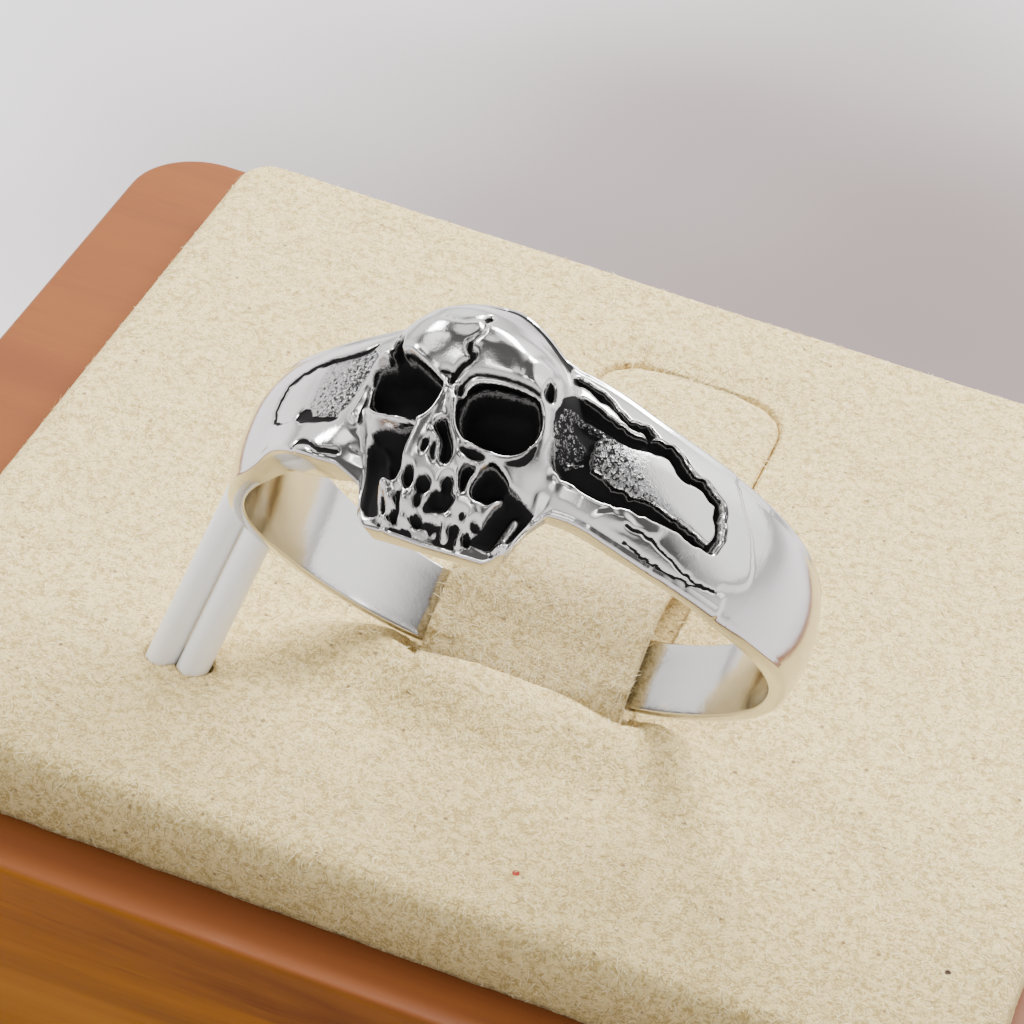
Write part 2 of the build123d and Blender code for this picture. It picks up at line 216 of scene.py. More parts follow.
def wrap_faces(rows, columns, close_rows=False, close_columns=False):
    """Quads of a sheet of points, joined end to end where it closes."""
    row = np.arange(rows if close_rows else rows - 1)
    column = np.arange(columns if close_columns else columns - 1)
    row, column = np.meshgrid(row, column, indexing="ij")
    next_row, next_column = (row + 1) % rows, (column + 1) % columns
    corners = [row * columns + column, next_row * columns + column,
               next_row * columns + next_column, row * columns + next_column]
    return np.stack([corner.ravel() for corner in corners], 1)


def add_mask(piece, name, values):
    """Stores a value for each point, which a material can read."""
    layer = piece.data.attributes.new(name, "FLOAT", "POINT")
    layer.data.foreach_set("value", np.asarray(values, np.float32).ravel())


def stand_in(piece, node, slot):
    """The piece moves with the model, hides its CAD solid and takes that solid's slot."""
    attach(piece, "root")
    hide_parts(node)
    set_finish(piece, slot)


# %% [markdown]
# ## Small tools for materials
# A node material is a graph. `add_node` places a node, and each of its inputs gets a plain value
# or the output of another node. The tools after it return an output too, so a recipe further
# down reads like a sum, in which one step feeds the next.

# %% Material tools
def set_inputs(tree, node, inputs):
    """Gives each input a plain value, or a link from another node's output."""
    for key, value in inputs.items():
        if isinstance(value, bpy.types.NodeSocket):
            tree.links.new(value, node.inputs[key])
        else:
            node.inputs[key].default_value = value


def add_node(tree, kind, inputs=None, **settings):
    """New node with its settings and its inputs."""
    node = tree.nodes.new(kind)
    for key, value in settings.items():
        setattr(node, key, value)
    set_inputs(tree, node, inputs or {})
    return node


def new_finish(name, inputs=None):
    """Material with one Principled shader, its tree and that shader."""
    finish = bpy.data.materials.new(name)
    finish.use_nodes = True
    shader = finish.node_tree.nodes["Principled BSDF"]
    set_inputs(finish.node_tree, shader, inputs or {})
    return finish, finish.node_tree, shader


def object_place(tree):
    """Place in the object's own coordinates, in metres."""
    return add_node(tree, "ShaderNodeTexCoord").outputs["Object"]


def object_axis(tree, axis):
    """One axis of that place."""
    return add_node(tree, "ShaderNodeSeparateXYZ", {0: object_place(tree)}).outputs[axis]


def stored_value(tree, name):
    """Value that was stored for each point of a piece."""
    return add_node(tree, "ShaderNodeAttribute", attribute_name=name).outputs["Fac"]


def calculate(tree, operation, first, second):
    """Result of a sum with two terms, each a number or an output."""
    return add_node(tree, "ShaderNodeMath", {0: first, 1: second}, operation=operation).outputs[0]


def noise(tree, place, scale, detail, roughness, distortion=0.0):
    """Noise between 0 and 1 at a place."""
    inputs = {"Vector": place, "Scale": scale, "Detail": detail, "Roughness": roughness,
              "Distortion": distortion}
    return add_node(tree, "ShaderNodeTexNoise", inputs).outputs["Fac"]


def distance_from(tree, place, point):
    """Distance of a place from a point in millimetres, as an output in metres."""
    terms = {0: place, 1: tuple(value * MM for value in point)}
    return add_node(tree, "ShaderNodeVectorMath", terms, operation="DISTANCE").outputs["Value"]


def blend_colours(tree, factor, first, second, **settings):
    """Mix of two colours, each four numbers or an output."""
    inputs = {"Factor": factor, "A": first, "B": second}
    return add_node(tree, "ShaderNodeMix", inputs, data_type="RGBA", **settings).outputs["Result"]


def remap(tree, value, low, high, to_low=0.0, to_high=1.0, smooth=True):
    """Change from one range of values to another, soft or straight."""
    inputs = {"Value": value, "From Min": low, "From Max": high, "To Min": to_low, "To Max": to_high}
    kind = "SMOOTHSTEP" if smooth else "LINEAR"
    return add_node(tree, "ShaderNodeMapRange", inputs, interpolation_type=kind).outputs["Result"]


# %% [markdown]
# ## A grain that several finishes share
# Suede and the blackened metal both need fine noise at more than one size. A node group makes it
# once: it gives one value from Object coordinates, and each material sets its own sizes. Object
# coordinates are in metres, so a scale of 1000 has one lump per millimetre.

# %% Shared grain group
def grain_group():
    """Node group: two sizes of noise mixed into one value."""
    group = bpy.data.node_groups.new("fine grain", "ShaderNodeTree")
    for name, start in (("Large scale", 500.0), ("Small scale", 4000.0), ("Small share", 0.5)):
        socket = group.interface.new_socket(name, in_out="INPUT", socket_type="NodeSocketFloat")
        socket.default_value = start
    group.interface.new_socket("Grain", in_out="OUTPUT", socket_type="NodeSocketFloat")
    given = group.nodes.new("NodeGroupInput").outputs
    place = object_place(group)
    large = noise(group, place, given["Large scale"], 2.0, 0.6)
    small = noise(group, place, given["Small scale"], 3.0, 0.65)
    shares = {"Factor": given["Small share"], "A": large, "B": small}
    mix = add_node(group, "ShaderNodeMix", shares, data_type="FLOAT")
    add_node(group, "NodeGroupOutput", {"Grain": mix.outputs["Result"]})
    return group


fine_grain = grain_group()


def grain_value(tree, large, small, share):
    """Output of the shared grain with one material's own sizes."""
    sizes = {"Large scale": large, "Small scale": small, "Small share": share}
    return add_node(tree, "ShaderNodeGroup", sizes, node_tree=fine_grain).outputs["Grain"]


def bump(tree, height, strength, distance, below=None):
    """Bump from a height, set on top of another bump if there is one."""
    inputs = {"Height": height, "Strength": strength, "Distance": distance * MM}
    if below is not None:
        inputs["Normal"] = below
    return add_node(tree, "ShaderNodeBump", inputs).outputs["Normal"]


# %% [markdown]
# ## Polished steel with blackened hollows
# The ring is bright steel, and its hollows were left black when the high places were polished.
# The relief below stores a mask for the black and a mask for the sandy, half polished plates.
# The mask is broken up by grain, so the border between black and bright is ragged as on the real
# ring. The mirror finish itself needs little roughness and a calm surface.

# %% Steel finish
steel_colour, sand_colour = (0.61, 0.60, 0.59, 1.0), (0.36, 0.36, 0.36, 1.0)
black_colour = (0.014, 0.0134, 0.0137, 1.0)
steel_rough, black_rough, least_grit, sand_rough = 0.13, 0.55, 0.10, 0.22
steel_ragged, sand_ragged = 0.35, 4.2
black_start, black_end = 0.34, 0.68

steel, tree, shader = new_finish("polished_steel")
patina, sand = stored_value(tree, "patina"), stored_value(tree, "sand")
spots = grain_value(tree, 8000.0, 19000.0, 0.45)
spread = remap(tree, sand, 0.0, 1.0, steel_ragged, sand_ragged, smooth=False)
ragged = calculate(tree, "MULTIPLY", calculate(tree, "SUBTRACT", spots, 0.5), spread)
black_share = remap(tree, calculate(tree, "ADD", ragged, patina), black_start, black_end)
metal_colour = blend_colours(tree, remap(tree, sand, 0.0, 1.0), steel_colour, sand_colour)
metal_rough = remap(tree, black_share, 0.0, 1.0, steel_rough, black_rough, smooth=False)
grit_rough = remap(tree, sand, 0.0, 1.0, least_grit, sand_rough, smooth=False)
waves = bump(tree, grain_value(tree, 500.0, 3200.0, 0.40), 0.5, 0.02)
set_inputs(tree, shader, {
    "Base Color": blend_colours(tree, black_share, metal_colour, black_colour),
    "Metallic": remap(tree, black_share, 0.0, 1.0, 1.0, 0.0, smooth=False),
    "Specular IOR Level": remap(tree, black_share, 0.0, 1.0, 0.5, 0.02, smooth=False),
    "Roughness": calculate(tree, "MAXIMUM", metal_rough, grit_rough),
    "Normal": bump(tree, calculate(tree, "MULTIPLY", spots, sand), 1.0, 0.06, waves),
})
print("steel nodes:", len(tree.nodes))

# %% [markdown]
# ## Suede
# Suede is the brushed flesh side of leather: a matt, warm cream surface with a short nap. Sheen
# gives the soft glow at grazing angles. The colour varies in clumps of about a tenth of a
# millimetre with dark specks between them, and painted shade makes it darker where less light
# falls: at the near edge of the pad, and where the flap goes under the ring. The nap is real fibres, made
# further down.

# %% Suede finish
suede_light, suede_dark = (0.88, 0.69, 0.32, 1.0), (0.50, 0.36, 0.13, 1.0)
nap_light, nap_dark = (0.99, 0.86, 0.52, 1.0), (0.46, 0.33, 0.13, 1.0)
# The next two tones are painted shade: the first darkens the pad towards its near edge, the second darkens
# the flap where it goes under and before the ring.
near_tone, shade_tone = (0.76, 0.75, 0.72, 1.0), (0.70, 0.69, 0.71, 1.0)
near_fade, shade_fade = (-18.0, -9.0), (-5.0, 2.0)
white, speck_colour = (1.0, 1.0, 1.0, 1.0), (0.16, 0.09, 0.05, 1.0)
speck_strength, speck_edge = 0.75, 0.002
# place, radius and colour of single specks
SPECKS = [
    ((3.88, -16.28, 16.8), 0.17, (0.30, 0.03, 0.02, 1.0)),
    ((18.57, -13.89, 16.8), 0.15, (0.05, 0.03, 0.02, 1.0)),
    ((-12.40, 3.60, 16.8), 0.10, (0.12, 0.06, 0.03, 1.0)),
]


def toned(tree, colour, tone, fade):
    """Colour times a tone of painted shade, which fades out between two places along Y."""
    share = remap(tree, object_axis(tree, "Y"), fade[0] * MM, fade[1] * MM)
    cover = blend_colours(tree, share, tone, white)
    return blend_colours(tree, 1.0, colour, cover, blend_type="MULTIPLY")


def suede_finish(name, speck_share, tone, fade):
    """Suede with light and dark clumps, specks in a share of small cells, and a part darkened by painted
    shade.
    """
    finish, tree, shader = new_finish(name, {"Roughness": 0.95, "Sheen Weight": 0.10, "Sheen Roughness": 0.5,
                                             "Specular IOR Level": 0.10})
    place = object_place(tree)
    clumps = grain_value(tree, 3600.0, 11000.0, 0.55)
    colour = blend_colours(tree, remap(tree, clumps, 0.38, 0.58), suede_dark, suede_light)
    cells = add_node(tree, "ShaderNodeTexVoronoi", {"Vector": place, "Scale": 2400.0}).outputs
    drawn = add_node(tree, "ShaderNodeSeparateColor", {"Color": cells["Color"]}).outputs["Red"]
    chosen = remap(tree, drawn, 1.0 - speck_share, 1.0 - speck_share + speck_edge, 0.0, speck_strength)
    speck = calculate(tree, "MULTIPLY", chosen, remap(tree, cells["Distance"], 0.26, 0.12))
    speckled = blend_colours(tree, speck, toned(tree, colour, tone, fade), speck_colour)
    for spot, reach, shade in SPECKS:
        share = remap(tree, distance_from(tree, place, spot), reach * MM, reach * 0.6 * MM)
        speckled = blend_colours(tree, share, speckled, shade)
    set_inputs(tree, shader, {"Base Color": speckled, "Normal": bump(tree, clumps, 1.0, 0.15)})
    return finish


def nap_finish(name, tone, fade):
    """Fibres of the nap, each with its own shade between light and dark, darkened along Y by painted shade.
    """
    finish, tree, shader = new_finish(name, {"Roughness": 0.85, "Specular IOR Level": 0.20})
    shade = blend_colours(tree, remap(tree, stored_value(tree, "strand"), 0.1, 0.9), nap_dark, nap_light)
    set_inputs(tree, shader, {"Base Color": toned(tree, shade, tone, fade)})
    return finish


suede = suede_finish("cream_suede", 0.10, near_tone, near_fade)
nap = nap_finish("cream_nap", near_tone, near_fade)
# The flap's suede and nap made here carry painted shade on their near part, under and before the ring.
shade_painted_suede = suede_finish("shade_painted_suede", 0.12, shade_tone, shade_fade)
shade_painted_nap = nap_finish("shade_painted_nap", shade_tone, shade_fade)
print("suede made")

# %% [markdown]
# ## Varnished wood
# The block is red-brown wood under satin varnish. Its grain runs along the block: noise stretched
# fourteen times along X makes the streaks, and a second, finer one the pores. As in the
# photograph, painted light makes the low part of the block lighter and more golden, and its top is
# darker and redder. The varnish is the shader's coat, which is set on its own input.

# %% Wood finish
streak_dark, streak_light = (0.098, 0.023, 0.0011, 1.0), (0.270, 0.090, 0.0050, 1.0)
# The second colour on the next line is painted light: blended in by height, it makes the low part of the
# block lighter and more golden.
pore_colour, painted_low_light = (0.055, 0.013, 0.001, 1.0), (0.350, 0.135, 0.012, 1.0)
top_colour = (0.170, 0.052, 0.017, 1.0)
low_span, low_strength, top_span, top_strength = (12.2, 7.5), 0.55, (13.90, 13.99), 0.8


def stretched(tree, scale, turn=(0.0, 0.0, 0.0)):
    """Place with its own scale along each axis."""
    inputs = {"Vector": object_place(tree), "Scale": scale, "Rotation": turn}
    return add_node(tree, "ShaderNodeMapping", inputs).outputs[0]


wood, tree, shader = new_finish("varnished_wood", {"Roughness": 0.45, "Specular IOR Level": 0.12,
                                                   "Coat Weight": 0.04, "Coat Roughness": 0.20})
streaks = noise(tree, stretched(tree, (30.0, 420.0, 420.0), (0.0, 0.06, 0.04)), 1.0, 6.0, 0.6, 0.4)
pores = noise(tree, stretched(tree, (160.0, 2600.0, 2600.0)), 1.0, 4.0, 0.7)
height = object_axis(tree, "Z")
striped = blend_colours(tree, remap(tree, streaks, 0.32, 0.66), streak_dark, streak_light)
dotted = blend_colours(tree, remap(tree, pores, 0.40, 0.28, 0.0, 0.5), striped, pore_colour)
painted_light_share = remap(tree, height, low_span[0] * MM, low_span[1] * MM, 0.0, low_strength)
top_share = remap(tree, height, top_span[0] * MM, top_span[1] * MM, 0.0, top_strength)
covered = blend_colours(tree, top_share, blend_colours(tree, painted_light_share, dotted, painted_low_light), top_colour)
set_inputs(tree, shader, {"Base Color": covered, "Normal": bump(tree, pores, 0.25, 0.05)})
print("wood made")

# %% [markdown]
# ## White plastic
# The two pins are glossy white plastic rods. Only a little roughness and a trace of warmth are
# needed, because their look comes from the soft light on a round, bright body.

# %% Plastic finish
pin_white = (0.93, 0.925, 0.91, 1.0)
plastic, tree, shader = new_finish("white_plastic", {"Roughness": 0.28, "Base Color": pin_white})
print("plastic made")

# %% [markdown]
# # The ring
# The ring is described by its height over the finger's bore at an angle round the finger and a
# place across the band. The first table gives the band: how far it reaches towards the chin and
# the crown of the skull, and how thick it is at both rims and on its crest.

# %% Band of the ring
# angle, chin side, crown side, chin rim wall, crown rim wall, crest wall
BAND = [
    (-180.0, 1.30, 1.30, 0.60, 0.60, 0.72),
    (-150.0, 1.38, 1.36, 0.58, 0.58, 0.75),
    (-125.0, 1.52, 1.55, 0.55, 0.55, 0.82),
    (-105.0, 1.70, 1.82, 0.50, 0.50, 0.86),
    (-90.0, 1.95, 1.98, 0.55, 0.48, 0.88),
    (-75.0, 2.20, 2.10, 0.60, 0.42, 0.90),
    (-62.0, 2.33, 2.14, 0.58, 0.38, 0.95),
    (-50.0, 2.38, 2.16, 0.70, 0.36, 1.04),
    (-44.0, 2.28, 2.20, 0.92, 0.34, 1.04),
    (-40.0, 2.22, 2.24, 1.18, 0.34, 1.12),
    (-36.0, 2.26, 2.30, 1.42, 0.36, 1.22),
    (-31.0, 2.40, 2.40, 1.72, 0.38, 1.34),
    (-25.0, 2.55, 2.58, 1.80, 0.45, 1.48),
    (-20.0, 2.55, 2.80, 1.30, 0.50, 1.58),
    (-15.5, 2.90, 3.00, 0.75, 0.50, 1.64),
    (-13.5, 3.90, 3.20, 0.60, 0.50, 1.68),
    (-10.5, 4.35, 3.45, 0.55, 0.50, 1.70),
    (1.0, 4.42, 3.80, 0.55, 0.50, 1.70),
    (12.5, 4.35, 3.05, 0.55, 0.45, 1.66),
    (15.5, 3.90, 2.88, 0.60, 0.45, 1.62),
    (17.5, 2.80, 2.84, 0.70, 0.45, 1.60),
    (20.0, 2.15, 2.79, 0.75, 0.48, 1.57),
    (25.0, 2.08, 2.67, 0.80, 0.45, 1.51),
    (32.0, 2.20, 2.45, 0.60, 0.40, 1.42),
    (40.0, 2.28, 2.30, 0.42, 0.40, 1.30),
    (50.0, 2.30, 2.22, 0.42, 0.40, 1.15),
    (62.0, 2.33, 2.18, 0.48, 0.40, 1.05),
    (75.0, 2.20, 2.12, 0.55, 0.45, 1.02),
    (90.0, 1.95, 1.98, 0.55, 0.50, 0.98),
    (105.0, 1.70, 1.82, 0.50, 0.50, 0.90),
    (125.0, 1.52, 1.55, 0.55, 0.55, 0.82),
    (150.0, 1.38, 1.36, 0.58, 0.58, 0.75),
    (180.0, 1.30, 1.30, 0.60, 0.60, 0.72),
]
narrow_angle, narrow_window, wide_window, wall_window = 24.0, 0.8, 5.0, 4.0
slope_reach, slope_power = 2.4, 2.2


def band_reach(angle):
    """How far the band reaches to the chin side and to the crown side."""
    window = np.where(np.abs(angle) < narrow_angle, narrow_window, wide_window)
    return soft_column(BAND, angle, 1, window), soft_column(BAND, angle, 2, window)


def band_height(angle, across):
    """Height of the plain band over the bore, which slopes from its crest to both rims."""
    chin, crown = band_reach(angle)
    chin_rim, crown_rim, crest = (soft_column(BAND, angle, column, wall_window) for column in (3, 4, 5))
    to_chin = np.minimum(1.0, np.maximum(-across, 0.0) / np.minimum(chin, slope_reach))
    to_crown = np.minimum(1.0, np.maximum(across, 0.0) / crown)
    low = crest - (crest - chin_rim) * to_chin ** slope_power
    high = crest - (crest - crown_rim) * to_crown ** slope_power
    return np.where(across < 0.0, low, high)


# %% [markdown]
# The second table gives the plain skull before any carving: its height, middle and half width at
# each place from the chin up to the crown. The skull is turned by a few degrees on the band.

# %% Plain skull
# up, height over the bore, middle, half width, fullness of the sides
FACE = [
    (-4.45, 0.70, 0.00, 2.75, 3.0),
    (-4.15, 0.80, 0.00, 2.75, 3.0),
    (-3.90, 1.12, 0.00, 2.80, 3.0),
    (-3.40, 1.85, 0.00, 2.85, 3.0),
    (-2.80, 2.30, 0.00, 2.95, 3.0),
    (-2.00, 2.75, 0.00, 3.20, 3.0),
    (-1.40, 2.95, 0.00, 3.60, 3.0),
    (-0.70, 3.12, 0.00, 3.90, 3.2),
    (0.00, 3.02, 0.00, 3.95, 3.2),
    (0.70, 3.42, 0.00, 3.90, 3.2),
    (1.40, 3.68, -0.02, 3.68, 2.8),
    (2.00, 3.70, -0.08, 3.25, 2.4),
    (2.60, 3.30, -0.22, 2.68, 2.1),
    (3.20, 2.42, -0.25, 2.30, 1.9),
    (3.60, 1.42, -0.22, 2.18, 1.9),
    (4.00, 0.48, -0.20, 2.15, 1.9),
]
skull_turn, skull_shift, skull_base, form_radius = math.radians(6.0), 0.05, 0.95, 11.5
skull_window = 0.22


def skull_place(angle, across):
    """Place on the skull, turned with it: sideways and up."""
    sideways = np.radians(angle) * form_radius - skull_shift
    return (sideways * math.cos(skull_turn) + across * math.sin(skull_turn),
            across * math.cos(skull_turn) - sideways * math.sin(skull_turn))


def skull_height(sideways, up):
    """Height of the plain skull over the bore."""
    columns = [soft_column(FACE, up, column, skull_window) for column in (1, 2, 3, 4)]
    top, middle, half_width, fullness = columns
    return top - (top - skull_base) * (np.abs(sideways - middle) / half_width) ** fullness


# %% [markdown]
# ## The carving of the skull
# A skull is carved in three ways. Ridges are raised along lines: the brow, the rims of the eyes,
# the sides of the nose and the cheekbones. Hollows are sunk inside outlines with a steep wall:
# the eyes, the nose, the cheeks and the jaw. Small ovals are the teeth and the gaps between them.
# The outlines have only the points that their shapes need, read from the photograph.

# %% Ridges of the skull
# half width, rise, line
SKULL_RIDGES = [
    (0.10, 0.10, [(0.12, -0.35), (0.18, 0.00), (0.40, 0.24), (0.75, 0.34), (1.30, 0.38), (1.90, 0.38),
        (2.40, 0.26)]),
    (0.24, 0.20, [(2.35, 0.55), (2.72, -0.05), (2.90, -0.60), (2.95, -1.15), (3.05, -1.55)]),
    (0.07, 0.16, [(0.85, -1.56), (1.20, -1.70), (1.65, -1.78), (2.05, -1.68), (2.42, -1.38),
        (2.60, -1.05)]),
    (0.13, 0.20, [(-0.28, 0.05), (-0.42, -0.35), (-0.62, -0.90), (-0.82, -1.40), (-0.98, -1.85),
        (-1.12, -2.30)]),
    (0.13, 0.20, [(-0.10, 0.00), (0.10, -0.50), (0.22, -0.95), (0.38, -1.45), (0.58, -1.85),
        (0.75, -2.10)]),
    (0.14, 0.30, [(-2.40, 0.85), (-2.75, 0.82), (-3.10, 0.68), (-3.45, 0.40), (-3.65, -0.05),
        (-3.85, -0.60)]),
    (0.11, 0.15, [(-3.35, -0.60), (-2.60, -0.92), (-1.90, -1.12), (-1.30, -1.19), (-0.95, -1.22)]),
    (0.10, 0.12, [(-1.85, 0.98), (-1.42, 0.88), (-0.95, 0.52), (-0.45, 0.18)]),
    (0.05, 0.14, [(-0.52, -3.58), (-0.40, -3.71), (-0.20, -3.78), (0.05, -3.72)]),
    (0.07, 0.12, [(-0.36, -1.42), (-0.20, -1.52), (-0.08, -1.72), (-0.08, -2.00)]),
    (0.16, 0.12, [(2.15, 0.70), (2.10, 1.10), (2.25, 1.42), (2.50, 1.30)]),
]
# sideways, up, half width, half height, rise
SKULL_BUMPS = [
    (-0.75, 1.25, 0.80, 0.75, 0.10),
    (1.25, 1.20, 0.85, 0.75, 0.10),
    (-3.10, -0.98, 0.70, 0.20, 0.10),
    (-1.70, -3.02, 0.14, 0.20, 0.30),
    (-1.55, -3.42, 0.13, 0.22, 0.26),
    (-1.02, -3.50, 0.17, 0.24, 0.24),
    (-1.88, -3.12, 0.10, 0.20, 0.18),
    (0.45, -3.72, 0.20, 0.13, 0.25),
    (0.95, -3.22, 0.28, 0.20, 0.10),
    (1.32, -3.42, 0.20, 0.22, 0.14),
    (1.22, -3.64, 0.16, 0.12, 0.20),
    (0.45, -4.02, 0.12, 0.18, 0.42),
    (1.00, -4.10, 0.09, 0.18, 0.36),
    (-0.25, -3.92, 0.10, 0.12, 0.25),
    (0.10, -3.93, 0.09, 0.14, 0.28),
    (-1.08, -3.88, 0.20, 0.12, 0.34),
    (-1.72, -3.92, 0.14, 0.13, 0.30),
]

# %% Hollows of the skull
# outline, rounds of corner cutting, floor over the bore, wall run
SKULL_HOLLOWS = {
    "left eye": ([(-3.05, 0.52), (-2.65, 0.68), (-2.25, 0.65), (-1.80, 0.85), (-1.45, 0.76),
        (-0.85, 0.35), (-0.42, 0.06), (-0.40, -0.20), (-0.52, -0.70), (-0.78, -1.08), (-1.15, -1.13),
        (-2.10, -0.98), (-2.80, -0.72), (-3.25, 0.10)], 1, 1.15, 0.16),
    "brow notch": ([(-2.18, 1.50), (-1.98, 1.48), (-1.92, 1.00), (-1.80, 0.80), (-2.15, 0.60),
        (-2.32, 1.05)], 1, 2.15, 0.10),
    "right eye": ([(0.27, -0.45), (0.42, 0.00), (0.75, 0.22), (1.25, 0.28), (1.90, 0.28), (2.42, 0.24),
        (2.60, -0.15), (2.66, -0.65), (2.50, -1.15), (2.12, -1.50), (1.70, -1.63), (1.25, -1.60),
        (0.80, -1.50), (0.55, -1.40), (0.32, -1.05)], 1, 1.15, 0.16),
    "left cheek": ([(-2.75, -1.38), (-2.40, -1.27), (-2.05, -1.27), (-1.50, -1.37), (-1.15, -1.28),
        (-0.88, -1.26), (-1.05, -1.75), (-1.17, -2.20), (-1.27, -2.55), (-1.37, -2.82), (-1.65, -2.88),
        (-1.90, -2.75), (-1.95, -2.40), (-2.30, -2.05), (-2.65, -1.65)], 1, 1.10, 0.16),
    "left side": ([(-3.00, -1.55), (-2.45, -1.55), (-2.00, -2.30), (-1.82, -2.75), (-2.05, -3.10),
        (-2.05, -3.50), (-1.95, -3.95), (-2.20, -4.15), (-2.90, -4.20), (-3.20, -3.40),
        (-3.20, -2.40)], 1, 0.80, 0.20),
    "nose right": ([(-0.36, -1.24), (-0.25, -1.08), (-0.05, -1.05), (0.10, -1.40), (0.35, -2.00),
        (0.28, -2.26), (0.06, -2.32), (-0.05, -2.20), (0.00, -1.90), (-0.03, -1.68),
        (-0.18, -1.44)], 1, 1.95, 0.08),
    "nose middle": ([(-0.26, -1.62), (-0.18, -1.80), (-0.17, -2.12), (-0.08, -2.30), (-0.22, -2.32),
        (-0.36, -2.10), (-0.35, -1.80)], 1, 2.10, 0.07),
    "nose left": ([(-0.43, -1.62), (-0.42, -1.95), (-0.58, -2.15), (-0.68, -2.02),
        (-0.60, -1.72)], 1, 2.10, 0.07),
    "front gap": ([(-0.42, -3.56), (-0.22, -3.25), (-0.10, -2.98), (0.05, -2.93), (0.20, -3.08),
        (0.52, -3.00), (0.70, -3.15), (0.56, -3.35), (0.50, -3.55), (0.25, -3.62), (0.00, -3.60),
        (-0.28, -3.66)], 1, 1.25, 0.10),
    "right cheek": ([(1.08, -2.88), (1.13, -2.45), (1.38, -2.05), (1.65, -1.98), (1.95, -2.12),
        (2.25, -2.35), (2.22, -2.62), (1.92, -2.84), (1.66, -3.08), (1.42, -2.98),
        (1.25, -3.02)], 1, 1.05, 0.14),
    "cheek slot": ([(0.67, -2.55), (0.72, -2.26), (0.90, -2.14), (1.14, -2.20), (1.00, -2.45),
        (0.92, -2.68), (0.92, -2.90), (0.82, -2.98), (0.72, -2.88)], 1, 1.50, 0.09),
    "right jaw": ([(2.14, -2.76), (1.80, -3.25), (1.72, -3.55), (1.62, -3.78), (1.34, -3.98),
        (1.24, -4.20), (1.60, -4.30), (1.98, -4.42), (2.45, -4.25), (2.90, -3.85), (3.30, -3.42),
        (3.70, -2.95), (3.40, -2.70), (2.90, -2.50), (2.50, -2.45), (2.14, -2.36)], 1, 0.55, 0.16),
    "eye crescent": ([(1.75, -1.87), (2.05, -1.92), (2.35, -1.80), (2.65, -1.52), (2.78, -1.18),
        (2.74, -0.95), (2.62, -1.12), (2.44, -1.42), (2.15, -1.72)], 1, 2.30, 0.08),
    "temple slit": ([(2.55, 1.05), (2.78, 0.95), (2.88, 0.45), (2.72, 0.38), (2.52, 0.55),
        (2.57, 0.78)], 1, 1.90, 0.08),
    "low gap": ([(-1.95, -3.95), (-1.45, -4.00), (-0.90, -4.00), (-0.55, -3.92), (-0.35, -3.84),
        (-0.10, -3.78), (0.20, -3.88), (0.36, -4.18), (0.30, -4.34), (-0.35, -4.24), (-1.10, -4.16),
        (-1.90, -4.10)], 0, 0.62, 0.08),
    "right low gap": ([(0.57, -3.86), (0.80, -3.76), (0.95, -3.80), (0.88, -3.95), (1.15, -4.20),
        (1.00, -4.36), (0.60, -4.32)], 0, 0.62, 0.07),
}
# sideways, up, half width, half height, depth
SKULL_HOLES = [
    (-0.97, -2.73, 0.17, 0.27, 0.55),
    (-0.45, -2.90, 0.25, 0.21, 0.55),
    (0.32, -2.83, 0.17, 0.23, 0.55),
    (-0.60, -3.33, 0.13, 0.18, 0.40),
    (-1.23, -3.38, 0.09, 0.24, 0.40),
    (-1.40, -3.78, 0.17, 0.15, 0.45),
    (-1.84, -3.50, 0.08, 0.20, 0.35),
    (-0.60, -3.80, 0.19, 0.12, 0.45),
    (1.22, -4.06, 0.13, 0.16, 0.45),
    (0.95, -3.54, 0.13, 0.07, 0.25),
    (1.44, -3.70, 0.17, 0.09, 0.35),
    (0.17, -0.10, 0.08, 0.20, 0.40),
    (0.47, 2.34, 0.08, 0.13, 0.30),
    (-0.36, 0.40, 0.20, 0.07, 0.22),
    (0.95, -1.88, 0.38, 0.14, 0.30),
]
# half width, depth, line
SKULL_CRACKS = [
    (0.035, 0.20, [(0.47, 2.35), (0.45, 2.05), (0.50, 1.75), (0.36, 1.50), (0.20, 1.30)]),
    (0.065, 0.32, [(0.20, 1.30), (0.22, 1.08), (0.40, 1.02), (0.28, 0.82), (0.10, 0.68), (0.00, 0.50),
        (-0.10, 0.30), (-0.15, 0.10)]),
    (0.035, 0.12, [(-0.75, 2.10), (-0.45, 2.05), (-0.15, 2.00), (0.15, 2.14), (0.42, 2.26)]),
    (0.06, 0.20, [(0.20, 0.12), (0.36, 0.38), (0.60, 0.46), (1.00, 0.50), (1.50, 0.53), (2.00, 0.52),
        (2.42, 0.40)]),
    (0.03, 0.05, [(-3.85, -1.55), (-3.50, -1.66), (-2.95, -1.66), (-2.50, -1.58), (-2.10, -1.50)]),
]
# the thin bone of the jaw that crosses its black hollow
JAW_BONE = [(2.66, -3.10), (2.48, -3.60), (2.35, -4.05)]
print("skull:", len(SKULL_RIDGES), "ridges,", len(SKULL_BUMPS), "bumps,", len(SKULL_HOLLOWS), "hollows,",
      len(SKULL_HOLES), "holes,", len(SKULL_CRACKS), "cracks")

# %% [markdown]
# ## The shoulders of the ring
# On the right of the skull the band is broken open, and a leaf-shaped plate lies in the break with
# a ragged black crack round it. On the left the same plate is a shallow field with thin cracks
# along its border. Both are sandy near the skull and bright towards their tips. A long, flat
# flame runs along the chin side on the right, and the carved part ends in a soft step.

